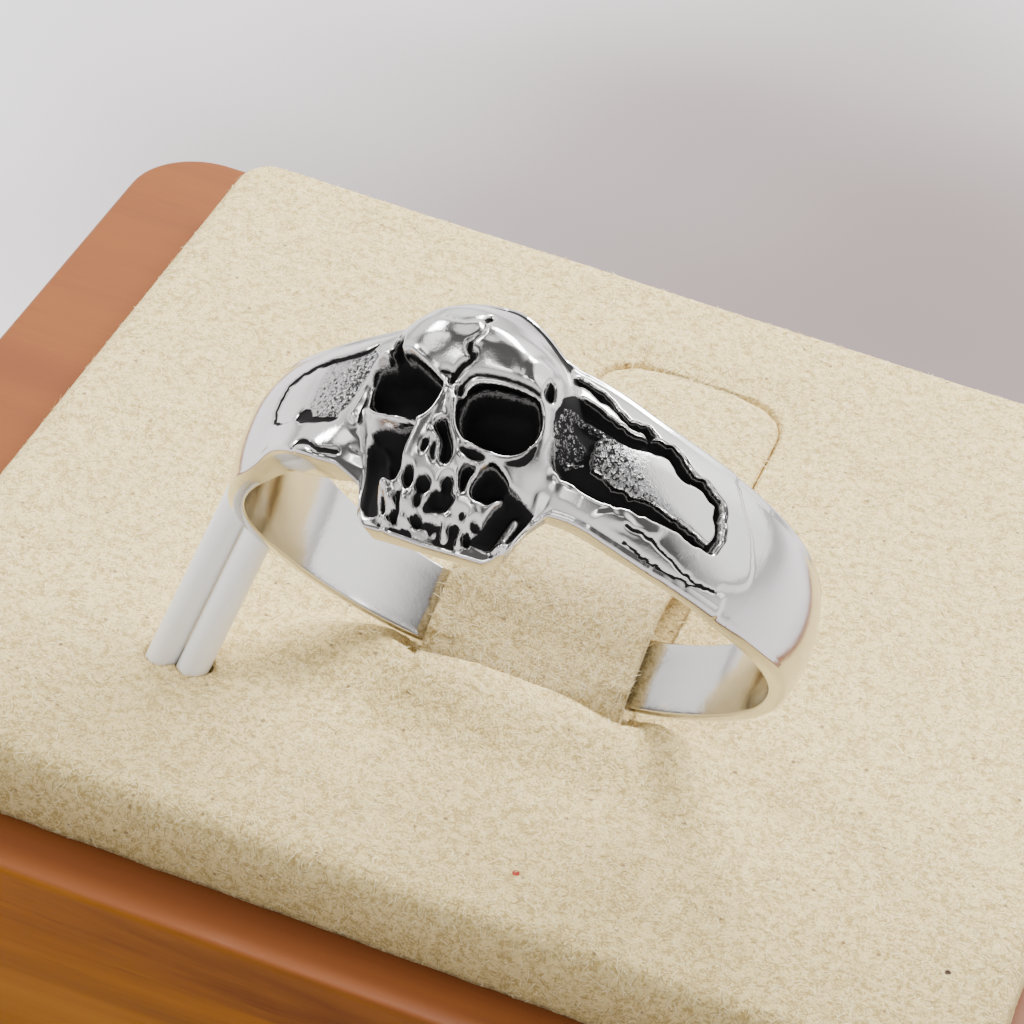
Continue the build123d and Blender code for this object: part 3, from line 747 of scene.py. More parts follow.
# %% Outlines of the shoulders
# places round the band and across it
PIT_RIGHT = [
    (2.95, 0.60), (3.05, 1.10), (3.30, 1.62), (3.70, 1.70), (4.35, 1.55), (5.10, 1.36), (5.90, 1.32),
    (6.40, 1.45), (6.70, 1.60), (7.05, 1.60), (7.25, 1.70), (7.70, 1.45), (8.15, 1.20), (8.55, 1.10),
    (8.95, 1.15), (9.30, 0.95), (9.75, 0.80), (9.90, 0.60), (9.95, 0.25), (10.15, 0.05),
    (10.20, -0.30), (10.12, -0.70), (9.95, -0.80), (9.35, -0.85), (8.65, -0.85), (8.00, -0.82),
    (7.45, -0.93), (6.85, -0.97), (6.15, -1.06), (5.50, -1.17), (4.90, -1.15), (4.05, -1.05),
    (3.65, -0.90), (3.40, -0.55), (3.08, 0.00),
]
CRACK_RIGHT = [
    (2.95, 2.30), (3.12, 2.50), (3.50, 2.42), (4.20, 2.30), (4.55, 2.15), (4.95, 1.88), (5.40, 1.72),
    (5.80, 1.76), (6.10, 1.90), (6.50, 1.72), (6.45, 1.42), (5.95, 1.55), (5.40, 1.52), (5.00, 1.70),
    (4.60, 1.90), (4.20, 1.95), (3.85, 2.12), (3.40, 2.22), (3.05, 2.12),
]
LEAF_RIGHT = [
    (4.55, 0.55), (4.75, 0.72), (5.05, 0.90), (5.45, 0.90), (6.00, 0.97), (6.55, 1.15), (6.95, 1.20),
    (7.25, 1.20), (7.45, 1.05), (7.70, 0.86), (8.15, 0.80), (8.60, 0.88), (8.95, 0.84), (9.30, 0.70),
    (9.60, 0.62), (9.70, 0.25), (9.98, -0.05), (10.03, -0.35), (9.92, -0.62), (9.40, -0.60),
    (8.90, -0.58), (8.20, -0.55), (7.55, -0.50), (6.95, -0.52), (6.40, -0.65), (6.05, -0.57),
    (5.70, -0.65), (5.20, -0.50), (4.75, -0.40), (4.50, 0.05),
]
ROUGH_RIGHT = [
    (3.05, 0.20), (3.15, 0.90), (3.60, 1.15), (4.40, 1.10), (5.25, 1.02), (5.00, 0.72), (4.75, 0.62),
    (4.60, 0.40), (4.70, 0.10), (4.50, -0.35), (3.90, -0.75), (3.40, -0.50),
]
CLAW_RIGHT = [
    (3.45, 0.80), (4.05, 0.85), (4.70, 0.80), (4.55, 0.45), (4.65, 0.05), (4.50, -0.25), (3.95, -0.50),
    (4.40, -0.05), (4.35, 0.25), (3.70, 0.55),
]
LENS_RIGHT = [
    (5.35, -1.90), (5.65, -1.35), (6.50, -1.25), (7.05, -1.40), (7.90, -1.50), (8.90, -1.70),
    (9.90, -1.85), (11.25, -1.65), (9.65, -1.97), (8.60, -2.02), (7.65, -1.99), (6.80, -1.93),
    (6.10, -1.90),
]
PIT_LEFT = [
    (-8.60, -0.88), (-8.90, -0.45), (-8.92, -0.10), (-8.80, 0.50), (-8.10, 0.88), (-7.30, 1.10),
    (-6.40, 1.26), (-5.50, 1.36), (-4.90, 1.55), (-4.60, 1.80), (-3.85, 1.30), (-3.85, 0.70),
    (-4.00, 0.10), (-4.10, -0.50), (-4.35, -0.82), (-4.62, -1.08), (-5.00, -1.20), (-5.60, -1.20),
    (-6.15, -1.16), (-6.90, -1.05), (-7.60, -1.10), (-8.20, -1.02),
]
BLOTCH_LEFT = [
    (-7.05, -1.06), (-6.95, -0.72), (-6.60, -0.58), (-6.25, -0.66), (-5.95, -0.92), (-5.50, -0.98),
    (-4.70, -0.98), (-4.40, -1.06), (-4.70, -1.22), (-5.60, -1.26), (-6.30, -1.24),
]
STEP_RIGHT = [
    (2.00, 3.20), (9.60, 2.60), (10.40, 1.85), (10.60, 1.35), (11.00, 0.85), (11.50, 0.40),
    (11.90, -0.10), (12.20, -0.70), (12.15, -1.00), (11.65, -1.28), (11.10, -1.48), (11.20, -1.65),
    (11.65, -1.60), (11.85, -2.60), (2.00, -3.20),
]

# %% Fields and lines of the shoulders
# outline, rounds of corner cutting, drop, wall run, blackness, which is below 0 where it is wiped
SHOULDER_FIELDS = [
    (PIT_RIGHT, 0, 0.58, 0.12, 1.0),
    (CRACK_RIGHT, 0, 0.40, 0.10, 1.0),
    (PIT_LEFT, 1, 0.09, 0.12, 0.0),
    (BLOTCH_LEFT, 0, 0.10, 0.08, 1.0),
    (LEAF_RIGHT, 0, -0.46, 0.14, -1.0),
    (ROUGH_RIGHT, 1, -0.16, 0.20, -0.30),
    (CLAW_RIGHT, 1, 0.16, 0.12, 1.0),
    (LENS_RIGHT, 1, -0.10, 0.22, 0.0),
]
# half width, depth, blackness, line
SHOULDER_LINES = [
    (0.045, 0.13, 0.95, [(6.60, -1.50), (7.15, -1.46), (7.70, -1.47), (8.25, -1.56), (8.85, -1.70),
        (9.50, -1.77), (10.25, -1.80), (11.00, -1.72)]),
    (0.045, 0.10, 0.9, [(5.30, -1.96), (5.80, -1.97), (6.25, -1.97), (6.65, -2.02)]),
    (0.032, 0.04, 1.0, [(6.80, -1.92), (7.85, -2.00), (8.55, -2.04), (9.20, -2.02), (9.80, -1.96),
        (10.90, -1.74)]),
    (0.30, -0.10, 0.0, [(3.30, -1.10), (4.20, -1.45), (5.20, -1.50), (6.40, -1.30), (7.60, -1.10)]),
    (0.070, 0.10, 1.0, [(-5.75, -2.45), (-5.65, -2.08), (-5.40, -2.06), (-5.00, -2.15), (-4.65, -2.28),
        (-4.05, -2.20)]),
    (0.050, 0.05, 1.0, [(-8.00, -1.02), (-8.60, -0.88), (-8.92, -0.45), (-8.94, -0.10), (-8.82, 0.50),
        (-8.45, 0.72), (-8.10, 0.90), (-7.70, 1.00), (-7.30, 1.12), (-6.90, 1.16), (-6.40, 1.28)]),
    (0.085, 0.10, 1.0, [(-6.90, 1.16), (-6.40, 1.28), (-5.90, 1.28), (-5.50, 1.36), (-5.15, 1.42),
        (-4.90, 1.55), (-4.60, 1.82)]),
]
# across the band, end of the sandy finish round it
SAND_END = [(-0.40, 8.70), (-0.10, 7.45), (0.25, 6.60), (0.80, 6.00)]
SAND_PATCH = [(8.45, -1.40), (9.50, -0.90), (9.80, -1.25), (9.00, -1.60)]
# place round the band, blackness there, and its change per millimetre from there on
right_speckle, left_speckle, near_speckle = (4.5, 0.62, -0.09), (-6.6, 0.30, 0.12), (0.0, 0.78, 0.0)
print("shoulders:", len(SHOULDER_FIELDS), "fields,", len(SHOULDER_LINES), "lines")

# %% [markdown]
# ## All the relief together
# The steps above are applied in the order in which a caster would work: the band and the skull
# are joined softly, ridges are added, hollows are sunk, and cracks are cut last. The same pass
# collects the masks for the black and for the sandy finish, so that colour and shape agree. The
# places are shaken by a few hundredths of a millimetre, which makes every edge slightly uneven.

# %% Relief of the shoulders
step_rise, step_run = 0.07, 0.22
shoulder_lump, east_shake, north_shake = 0.22, 0.035, 0.045
sand_run, leaf_fade, left_fade, left_limit, blotch_run, patch_run = 0.1, 2.2, 0.6, 6.85, 0.06, 0.4
line_black, right_sand, left_sand, patch_sand = 1.6, 0.8, 0.6, 0.5


def shoulder_relief(around, across, height, inner, edge):
    """Height and black mask after the fields and lines; inner and edge fade them at the rims."""
    black = np.zeros_like(height)
    east = around + east_shake * grain(around, across, shoulder_lump, 3)
    north = across + north_shake * grain(around, across, shoulder_lump, 4)
    height = height + step_rise * outline_share(east, north, cut_corners(STEP_RIGHT, 1), step_run) * edge
    for outline, rounds, drop, run, blackness in SHOULDER_FIELDS:
        share = outline_share(east, north, cut_corners(outline, rounds), run)
        share = share * (inner if blackness > 0.0 else edge)
        height = height - drop * share
        if blackness < 0.0:
            black = black * (1.0 + blackness * share)
        else:
            black = np.maximum(black, blackness * share)
    for half_width, depth, blackness, line in SHOULDER_LINES:
        share = line_share(east, north, line, half_width) * (inner if 0.0 < blackness < 1.0 else edge)
        height = height - depth * share
        black = np.maximum(black, np.minimum(1.0, line_black * blackness * share))
    return height, black


def speckled(around, black, share, speckle):
    """Black mask whose share inside a sandy place is replaced by an even speckle."""
    start, blackness, change = speckle
    return np.maximum(black * (1.0 - share), share * (blackness + change * (around - start)))


def sandy_places(around, across, black):
    """Mask of the sandy finish, and the black mask with the speckle of the sandy places."""
    right = outline_share(around, across, LEAF_RIGHT, sand_run, 0.0)
    right = right * ease((between(across, SAND_END) - around) / leaf_fade + 0.5)
    left = outline_share(around, across, PIT_LEFT, sand_run, 0.0) * ease((around + left_limit) / left_fade)
    left = left * (1.0 - outline_share(around, across, BLOTCH_LEFT, blotch_run))
    near = outline_share(around, across, ROUGH_RIGHT, sand_run, 0.0)
    near = near * (1.0 - outline_share(around, across, CLAW_RIGHT, sand_run))
    patch = patch_sand * outline_share(around, across, SAND_PATCH, patch_run, 0.0)
    for share, speckle in ((right, right_speckle), (left, left_speckle), (near, near_speckle)):
        black = speckled(around, black, share, speckle)
    return np.maximum.reduce([right_sand * right, left_sand * left, near, patch]), black


# %% Relief of the skull
# angle, width of the rim that the hollows leave at the chin
CHIN_RIM = [(-13.0, 0.24), (-4.0, 0.34), (2.0, 0.38), (12.0, 0.33)]
joint_reach, joint_round, rim_run = 0.15, 0.3, 0.12
skull_lump, skull_shake = 0.30, 0.02
bowl_rise, bowl_reach, hollow_start = 0.45, 0.65, 0.35
bone_half, bone_rise, bone_bright, least_height = 0.16, 0.35, 0.55, 0.42
hollow_black, hole_black, crack_black = 1.6, 1.4, 1.2


def blend_max(first, second, reach):
    """Larger of two heights with a rounded joint."""
    near = np.maximum(reach - np.abs(first - second), 0.0) / reach
    return np.maximum(first, second) + near * near * reach / 4.0


def skull_relief(angle, across, height, black):
    """Height and black mask after the carving, and the places that the skull covers."""
    sideways, up = skull_place(angle, across)
    plain_height = skull_height(sideways, up)
    worked = ease((plain_height - height) / joint_reach)
    cover = worked * (angle < 0.0)
    height, black = blend_max(height, plain_height, joint_round), black * (1.0 - cover)
    ledge = ease((across + band_reach(angle)[0] - between(angle, CHIN_RIM)) / rim_run)
    x = sideways + skull_shake * grain(sideways, up, skull_lump, 5)
    y = up + skull_shake * grain(sideways, up, skull_lump, 6)
    for half_width, rise, line in SKULL_RIDGES:
        height = height + rise * ease(1.0 - line_distance(x, y, line) / (2.0 * half_width))
    for side, up_place, half_width, half_height, rise in SKULL_BUMPS:
        height = height + rise * oval_share(x, y, side, up_place, half_width, half_height)
    for outline, rounds, floor, run in SKULL_HOLLOWS.values():
        inside = depth_inside(x, y, cut_corners(outline, rounds))
        share = ease(inside / run + hollow_start) * ledge
        bowl = floor + bowl_rise * np.clip(1.0 - inside / bowl_reach, 0.0, 1.0) ** 2
        height = height - np.maximum(height - bowl, 0.0) * share
        black = np.maximum(black, ease(hollow_black * share))
    for side, up_place, half_width, half_height, depth in SKULL_HOLES:
        share = oval_share(x, y, side, up_place, half_width, half_height) * ledge
        height = height - depth * share
        black = np.maximum(black, ease(hole_black * share))
    for half_width, depth, line in SKULL_CRACKS:
        share = line_share(x, y, line, half_width)
        height = height - depth * share
        black = np.maximum(black, ease(crack_black * share))
    bone = line_share(x, y, JAW_BONE, bone_half)
    height = height + bone_rise * bone
    return np.maximum(height, least_height), black * (1.0 - bone_bright * bone), cover, worked


# %% Relief of the whole ring
skull_limit, worked_sand = 34.0, 0.10
inner_rim, edge_rim = 0.25, 0.35


def ring_relief(angle, across):
    """Height over the bore, black mask and sand mask at many places."""
    around = np.radians(angle) * form_radius
    chin, crown = band_reach(angle)
    rim = np.minimum(across + chin, crown - across)
    inner, edge = ease((rim - inner_rim) / inner_rim), ease(rim / edge_rim)
    height, black = shoulder_relief(around, across, band_height(angle, across), inner, edge)
    sand, black = sandy_places(around, across, black)
    skull = np.abs(angle) < skull_limit
    carved = skull_relief(angle[skull], across[skull], height[skull], black[skull])
    height[skull], black[skull], cover, worked = carved
    sand[skull] = np.maximum(sand[skull] * (1.0 - cover), worked_sand * worked)
    return height, black, sand


# %% [markdown]
# ## The mesh of the ring
# The ring is one closed sheet: columns run round the finger, and each column is a loop over the
# outside, down one rim, along the bore and up the other rim. The columns are close together on
# the skull, where the carving is fine, and far apart on the plain shank. Both rims end in a small
# round edge, because a perfectly sharp edge never catches the light as the real one does.

# %% Columns and rows of the ring
# start angle, end angle, number of columns
SPANS = [(-180.0, -62.0, 36), (-62.0, -23.0, 148), (-23.0, 23.0, 226), (23.0, 63.0, 150), (63.0, 180.0, 36)]
# angle, round of the rims
RIM_ROUND = [(0.0, 0.12), (14.0, 0.12), (18.0, 0.16), (36.0, 0.22), (60.0, 0.34)]
outside_rows, bore_rows, edge_steps = 138, 5, 4
bore_round, least_wall = 0.10, 0.04
carved_limit, soft_black_limit = 62.0, 21.0


def bend(start, corner, end, share):
    """Point on the soft bend from start to end round a corner."""
    return start * (1.0 - share) ** 2 + corner * 2.0 * share * (1.0 - share) + end * share ** 2


def box_blur(values, reach):
    """Mean over a square of neighbours in the grid, which closes round the finger."""
    rows = np.arange(values.shape[1])
    shifts = range(-reach, reach + 1)
    around = sum(np.roll(values, shift, 0) for shift in shifts)
    total = sum(around[:, np.clip(rows + shift, 0, len(rows) - 1)] for shift in shifts)
    return total / (2 * reach + 1) ** 2


angles = np.concatenate([np.linspace(start, end, count, endpoint=False) for start, end, count in SPANS])
chin_reach, crown_reach = band_reach(angles)
rim_round = between(np.abs(angles), RIM_ROUND)
low, high = -chin_reach + rim_round, crown_reach - rim_round
share = np.linspace(0.0, 1.0, outside_rows)
outside_across = low[:, None] + (high - low)[:, None] * share
outside_angle = np.repeat(angles[:, None], outside_rows, 1)
outside_height, black_mask, sand_mask = ring_relief(outside_angle, outside_across)
carved_columns = np.abs(angles) < carved_limit
outside_height[carved_columns] = box_blur(box_blur(outside_height, 1), 1)[carved_columns]
skull_columns = np.abs(angles) < soft_black_limit
black_mask[skull_columns] = box_blur(black_mask, 1)[skull_columns]
lowest, highest = round(outside_height.min(), 2), round(outside_height.max(), 2)
print("ring grid", outside_height.shape, "heights", lowest, "to", highest)


# %% Loops of the ring
def rim_loop(across_edge, row, inward):
    """Places of one rim: from the outside's last row round the outer edge, down and round the bore's edge."""
    last_across, last_height = outside_across[:, row], outside_height[:, row]
    across_steps, height_steps = [], []
    for step in range(1, edge_steps + 1):
        turn = step / edge_steps
        across_steps.append(bend(last_across, across_edge, across_edge, turn))
        height_steps.append(bend(last_height, last_height, last_height - rim_drop, turn))
    for step in range(edge_steps + 1):
        turn = step / edge_steps
        across_steps.append(bend(across_edge, across_edge, across_edge + inward * bore_round, turn))
        height_steps.append(np.full_like(last_height, bend(bore_round, 0.0, 0.0, turn)))
    return across_steps, height_steps


thinnest = np.minimum(outside_height[:, 0], outside_height[:, -1])
rim_drop = np.minimum(rim_round, thinnest - bore_round - least_wall)
crown_across, crown_height = rim_loop(crown_reach, -1, -1.0)
chin_across, chin_height = rim_loop(-chin_reach, 0, 1.0)
bore_span = chin_across[-1] - crown_across[-1]
bore_across = [crown_across[-1] + bore_span * step / bore_rows for step in range(1, bore_rows)]
bore_height = [np.zeros_like(angles)] * len(bore_across)
inner_across = np.stack(crown_across + bore_across + chin_across[::-1], 1)
inner_height = np.stack(crown_height + bore_height + chin_height[::-1], 1)
loop_across = np.concatenate([outside_across, inner_across], 1)
radius = bore_radius + np.concatenate([outside_height, inner_height], 1)
loop_angle = np.radians(angles)[:, None]
ring_points = np.stack([radius * np.sin(loop_angle), loop_across, radius * np.cos(loop_angle)], -1)
turned = ring_points.reshape(-1, 3) @ np.array(ring_turn.to_3x3()).T + np.array(ring_centre)
faces = wrap_faces(len(angles), loop_across.shape[1], close_rows=True, close_columns=True)
ring = new_piece("steel_skull_ring", turned, faces, steel)

# %% [markdown]
# A polishing wheel doesn't reach into narrow places, so they stay dark. A place is narrow where it
# lies lower than the mean of its surroundings, and there the black mask gets stronger. The smooth
# cheek on the right is left out, because its border is a step and no hollow.

# %% Masks of the ring
cavity_reach, least_cavity, cavity_run, cavity_black = 6, 0.018, 0.07, 0.85
cheek_angle, cheek_across = 14.5, -1.1
cavity = box_blur(outside_height, cavity_reach) - outside_height
cavity[(outside_angle > cheek_angle) & (outside_across < cheek_across)] = 0.0
cavity_mask = np.maximum(black_mask, cavity_black * ease((cavity - least_cavity) / cavity_run))
fine_columns = np.abs(angles) < skull_limit
black_mask[fine_columns] = cavity_mask[fine_columns]
plain = np.zeros((len(angles), loop_across.shape[1] - outside_rows))
add_mask(ring, "patina", np.concatenate([black_mask, plain], 1))
add_mask(ring, "sand", np.concatenate([sand_mask, plain], 1))
stand_in(ring, "skull_ring", "ring_steel")
print("ring triangles", 2 * len(faces), "black share", round(float((black_mask > 0.5).mean()), 3))

# %% [markdown]
# # The stand
# Block and pad are slabs with round corners. A slab is a sheet of points whose corner squares are
# pushed into quarter circles, so rows of quads run all the way over it. Near the border the rows
# are close together and follow the round edge, and the last row is pulled down into the side.

# %% Slabs
edge_rows, side_levels, side_start, least_step = 6, 8, 0.05, 0.012


def slab_lines(side, edge, step, close):
    """Places of the sheet's rows along one side: dense in the round edge and in the close spans."""
    places = []
    for turn in range(edge_rows + 1):
        inward = edge * (1.0 - math.cos(math.pi / 2 * turn / edge_rows))
        places += [-side / 2 + inward, side / 2 - inward]
    count = int((side - 2 * edge) / step)
    places += [-side / 2 + edge + (side - 2 * edge) * index / count for index in range(1, count)]
    for start, end, fine in close:
        places += list(np.arange(start, end, fine))
    places = sorted(places)
    kept = [places[0]]
    for place in places[1:]:
        if place - kept[-1] > least_step or place == places[-1]:
            kept.append(place)
    return np.array(kept)


def slab(name, size, low, high, corner, edge, columns, rows, material, lift=None, side_shift=None):
    """Closed slab with round corners and a round top edge; lift moves its top, side_shift its side."""
    width, depth = size
    x, y = np.meshgrid(columns, rows, indexing="ij")
    side_x, side_y = width / 2 - np.abs(x), depth / 2 - np.abs(y)
    over_x, over_y = np.maximum(corner - side_x, 0.0), np.maximum(corner - side_y, 0.0)
    largest, length = np.maximum(over_x, over_y), np.maximum(np.hypot(over_x, over_y), 1e-9)
    factor = np.where((over_x > 0) & (over_y > 0), largest / length, 1.0)
    px = np.sign(x) * (np.abs(x) - over_x * (1.0 - factor))
    py = np.sign(y) * (np.abs(y) - over_y * (1.0 - factor))
    inward = np.minimum(side_x, side_y)
    round_off = np.maximum(1.0 - inward / edge, 0.0)
    pz = high - edge * (1.0 - np.sqrt(1.0 - np.minimum(round_off, 1.0) ** 2))
    if lift is not None:
        pz = pz + lift(px, py) * ease(inward / edge)
    top = np.stack([px, py, pz], -1).reshape(-1, 3)
    count_x, count_y = x.shape
    faces = [list(face) for face in wrap_faces(count_x, count_y)]
    index = np.arange(count_x * count_y).reshape(count_x, count_y)
    sides = [index[:, 0], index[-1, 1:], index[-2::-1, -1], index[0, -2:0:-1]]
    previous = np.concatenate(sides).tolist()
    rim, rim_count = top[previous], len(previous)
    points, total = [top], len(top)
    for level in [high - edge - side_start] + list(np.linspace(high - edge, low, side_levels + 1)[1:]):
        level_points = rim.copy()
        level_points[:, 2] = level
        if side_shift is not None:
            level_points[:, :2] *= 1.0 + side_shift(level_points)[:, None]
        points.append(level_points)
        current = list(range(total, total + rim_count))
        total += rim_count
        for k in range(rim_count):
            following = (k + 1) % rim_count
            faces.append([previous[following], previous[k], current[k], current[following]])
        previous = current
    faces.append(previous[::-1])
    return new_piece(name, np.concatenate(points), faces, material)


# %% [markdown]
# ## The wood block
# The block is a plain slab whose edge is only a quarter of a millimetre round, as the bright line
# along the top of the real one shows. Its look is in the varnished grain made above.

# %% Wood block
block_corner, block_edge, block_step = 3.2, 0.25, 1.6
corner_reach, corner_step = 1.6, 0.3


def block_lines(side):
    """Lines of the block along one side, close together at its two round corners."""
    middles = [end * (side / 2 - corner_reach) for end in (-1, 1)]
    close = [(middle - corner_reach, middle + corner_reach, corner_step) for middle in middles]
    return slab_lines(side, block_edge, block_step, close)


block = slab("wood_stand_block", (block_width, block_depth), 0.0, block_height, block_corner, block_edge,
             block_lines(block_width), block_lines(block_depth), wood)
stand_in(block, "wood_block", "varnished_wood")

# %% [markdown]
# ## Where the flap and the pins meet the pad
# The flap is a tongue of the same suede, cut free on three sides. It rises in front of the shank,
# goes over it and lies down again behind, and its round-cornered outline stays visible as a
# crease. The numbers below find where the shank's near rim is, because the flap starts there.

# %% Places of the flap and the pins
flap_width, flap_thick, flap_corner, flap_length = 7.6, 0.6, 2.0, 21.6
flap_slack, flap_gap = 0.1, 0.08
rim_front = bore_radius * math.sin(lean) - shank_half * math.cos(lean) - ring_front
rim_up = ring_height - bore_radius * math.cos(lean) - shank_half * math.sin(lean)
flap_front = rim_front - flap_thick
flap_back = flap_front + flap_length
pin_diameter, pin_pitch, pin_height, pin_seat, pin_slack = 1.15, 1.2, 7.6, 1.8, 0.08
pin_side, pin_front, pin_drift, pin_tilt = -10.6, 11.7, 0.20, 0.66
pin_places = [(pin_side - pin_pitch / 2, -pin_front), (pin_side + pin_pitch / 2, -pin_front)]
print("flap from", round(flap_front, 2), "to", round(flap_back, 2))

# %% [markdown]
# ## The suede pad
# The pad is a slab with a wide round edge. Its top is lowered in the pocket of the flap and in
# the two pin holes, and a lip rises from it to the near rim of the ring, as thick suede does where
# something is pushed into it. The rest is never quite flat: broad, low swells and small clumps of
# nap change its height by a few hundredths of a millimetre.

# %% Shape of the pad's top
# size, height and seed of the swells
SWELLS = [(6.0, 0.05, 11), (1.3, 0.03, 12), (0.55, 0.02, 13)]
pocket_run, pocket_start, sink_depth, sink_reach = 0.14, 0.2, 0.24, 1.5
lip_rise, lip_slope, lip_run, lip_half, lip_fade = 1.35, 0.08, 3.8, 2.7, 1.7
lip_back, band_run, band_rise, hole_run = 0.05, 1.2, 1.6, 0.08


def pocket_depth(x, y):
    """How deep a place of the pad lies in the pocket of the flap."""
    half = flap_width / 2 + flap_slack
    front, back = flap_front - flap_slack, flap_back + flap_slack
    dx = np.abs(x - ring_side) - half
    dy = np.maximum(y - back, front - y)
    corner_x, corner_y = np.maximum(dx + flap_corner, 0.0), np.maximum(y - back + flap_corner, 0.0)
    return -np.maximum(np.maximum(dx, dy), np.hypot(corner_x, corner_y) - flap_corner)


def pad_lip(x, y):
    """Height of the lip before the ring; beside the flap it stays under the round of the band."""
    beside, front = (x - ring_side) / (flap_width / 2), flap_front - flap_slack - y
    lip = (lip_rise - lip_slope * beside) * ease(1.0 - front / lip_run)
    lip = lip * ease((lip_half - np.abs(beside)) / lip_fade)
    outer = bore_radius + shank_wall
    offset = np.minimum(np.abs(x - ring_side), outer)
    under_band = (outer - np.sqrt(outer ** 2 - offset ** 2)) * math.cos(lean)
    limited = np.minimum(lip * ease(1.0 + front / band_run), under_band + band_rise * ease(front / band_run))
    return np.where(np.abs(beside) > 1.0, limited, lip * (front > -lip_back))


def pad_lift(x, y):
    """Height changes of the pad's top."""
    depth = pocket_depth(x, y)
    pocket = ease(depth / pocket_run + pocket_start)
    swell = sum(height * grain(x, y, size, seed) for size, height, seed in SWELLS)
    lift = swell * (1.0 - pocket) - (flap_thick + flap_gap) * pocket
    lift = lift - sink_depth * ease(1.0 + depth / sink_reach) * (1.0 - pocket)
    lift = lift + pad_lip(x, y) * (1.0 - pocket)
    for px, py in pin_places:
        inside = pin_diameter / 2 + pin_slack - np.hypot(x - px, y - py)
        lift = lift - pin_seat * ease(inside / hole_run + 0.5)
    return lift


def pad_side(points):
    """Small unevenness of the pad's side, as a share of its width."""
    x, y, z = points.T
    return 0.0015 * grain(x + y * 0.7, z * 1.5, 0.8, 14)


# %% Suede pad
pad_corner, pad_edge, pad_step, flap_step, pin_step = 1.6, 0.9, 0.42, 0.09, 0.11
flap_border, flap_band, pin_band, pin_room = 0.5, 1.6, 1.5, 1.0
flap_left, flap_right = ring_side - flap_width / 2 - flap_border, ring_side + flap_width / 2 + flap_border
columns = slab_lines(pad_width, pad_edge, pad_step, [
    (flap_left, flap_left + flap_band, flap_step),
    (flap_right - flap_band, flap_right, flap_step),
    (pin_side - pin_band, pin_side + pin_band, pin_step),
])
rows = slab_lines(pad_depth, pad_edge, pad_step, [
    (-pin_front - pin_room, -pin_front + pin_room, pin_step),
    (flap_front - flap_border, flap_front + flap_border, flap_step),
    (flap_back - flap_band, flap_back + flap_border, flap_step),
])
pad = slab("suede_display_pad", (pad_width, pad_depth), block_height, pad_top, pad_corner, pad_edge,
           columns, rows, suede, pad_lift, pad_side)
stand_in(pad, "suede_pad", "pad_suede")

# %% [markdown]
# ## The flap
# The flap is swept along a line in side view. A few stations give its place, and a smooth curve
# through them gives the bends of thick, soft suede. At the shank its sides stand up with the round
# of the finger hole, and behind it they sink back into the pad.

# %% Line of the flap
side_rise = bore_radius - math.sqrt(bore_radius ** 2 - (flap_width / 2) ** 2)
level = -rim_up - flap_thick
# forward, up, rise of the sides
FLAP_LINE = [
    (-0.42 - level * math.tan(lean), level, 0.00),
    (0.35, level * 0.6, 0.02),
    (-0.10, -0.35, 0.06),
    (-0.28, 0.02, side_rise * 0.6),
    (0.05, 0.22, side_rise),
    (1.10, 0.78, side_rise),
    (2.25, 1.50, side_rise),
    (3.30, 1.78, 0.70),
    (4.80, 1.44, 0.50),
    (7.20, 0.47, 0.25),
    (9.60, -0.58, 0.08),
    (11.60, level, 0.00),
    (16.00, level, 0.00),
    (flap_back - rim_front, level, 0.00),
]
station_count, flap_columns, side_gap = 150, 49, 0.02
behind_start, behind_run, front_power, behind_power = 8.0, 4.0, 8.0, 2.0
side_pull, behind_pull, end_pull, under_share = 0.12, 0.20, 0.25, 0.4
uneven_size, uneven_height = 0.9, 0.02


def smooth_stations(rows, count):
    """Evenly counted stations on a smooth curve through the rows."""
    rows = np.array(rows)
    padded_rows = np.concatenate([[2 * rows[0] - rows[1]], rows, [2 * rows[-1] - rows[-2]]])
    stations = []
    for place in np.linspace(0.0, len(rows) - 1.0001, count):
        k, t = int(place), place - int(place)
        a, b, c, d = padded_rows[k:k + 4]
        slope, hollow, twist = c - a, 2 * a - 5 * b + 4 * c - d, 3 * b - a - 3 * c + d
        stations.append(0.5 * (2 * b + slope * t + hollow * t * t + twist * t ** 3))
    return np.array(stations)


# %% Flap
forward, up, droop = smooth_stations(FLAP_LINE, station_count).T
direction = np.arctan2(np.gradient(up), np.gradient(forward))
to_end = np.clip(1.0 - (flap_back - rim_front - forward) / flap_corner, 0.0, 1.0)
half_widths = flap_width / 2 - side_gap - flap_corner * (1.0 - np.sqrt(1.0 - to_end ** 2))
across_places = list(np.linspace(-1.0, 1.0, flap_columns))
loop = [(place, 0.0) for place in across_places] + [(place, 1.0) for place in across_places[::-1]]
flap_points = []
for index in range(station_count):
    behind = min(1.0, max(0.0, forward[index] - behind_start) / behind_run)
    for place, layer in loop:
        pull = (side_pull + behind_pull * behind) * abs(place) ** (front_power - behind_power * behind)
        pull = (pull + end_pull * to_end[index] ** 4) * (1.0 if layer else under_share)
        rise = (np.abs(place)) ** 2 * droop[index] + flap_thick * layer - pull
        flap_points.append((ring_side + place * half_widths[index],
                            rim_front + forward[index] - math.sin(direction[index]) * rise,
                            pad_top + rim_up + up[index] + math.cos(direction[index]) * rise))
flap_points = np.array(flap_points)
uneven = grain(flap_points[:, 0], flap_points[:, 1] * 1.3 + flap_points[:, 2], uneven_size, 15)
flap_points[:, 2] += uneven_height * uneven
faces = [list(face) for face in wrap_faces(station_count, len(loop), close_columns=True)]
faces.append(list(range(len(loop)))[::-1])
faces.append([(station_count - 1) * len(loop) + index for index in range(len(loop))])
flap = new_piece("suede_flap", flap_points, faces, shade_painted_suede)
stand_in(flap, "pad_flap", "flap_suede")

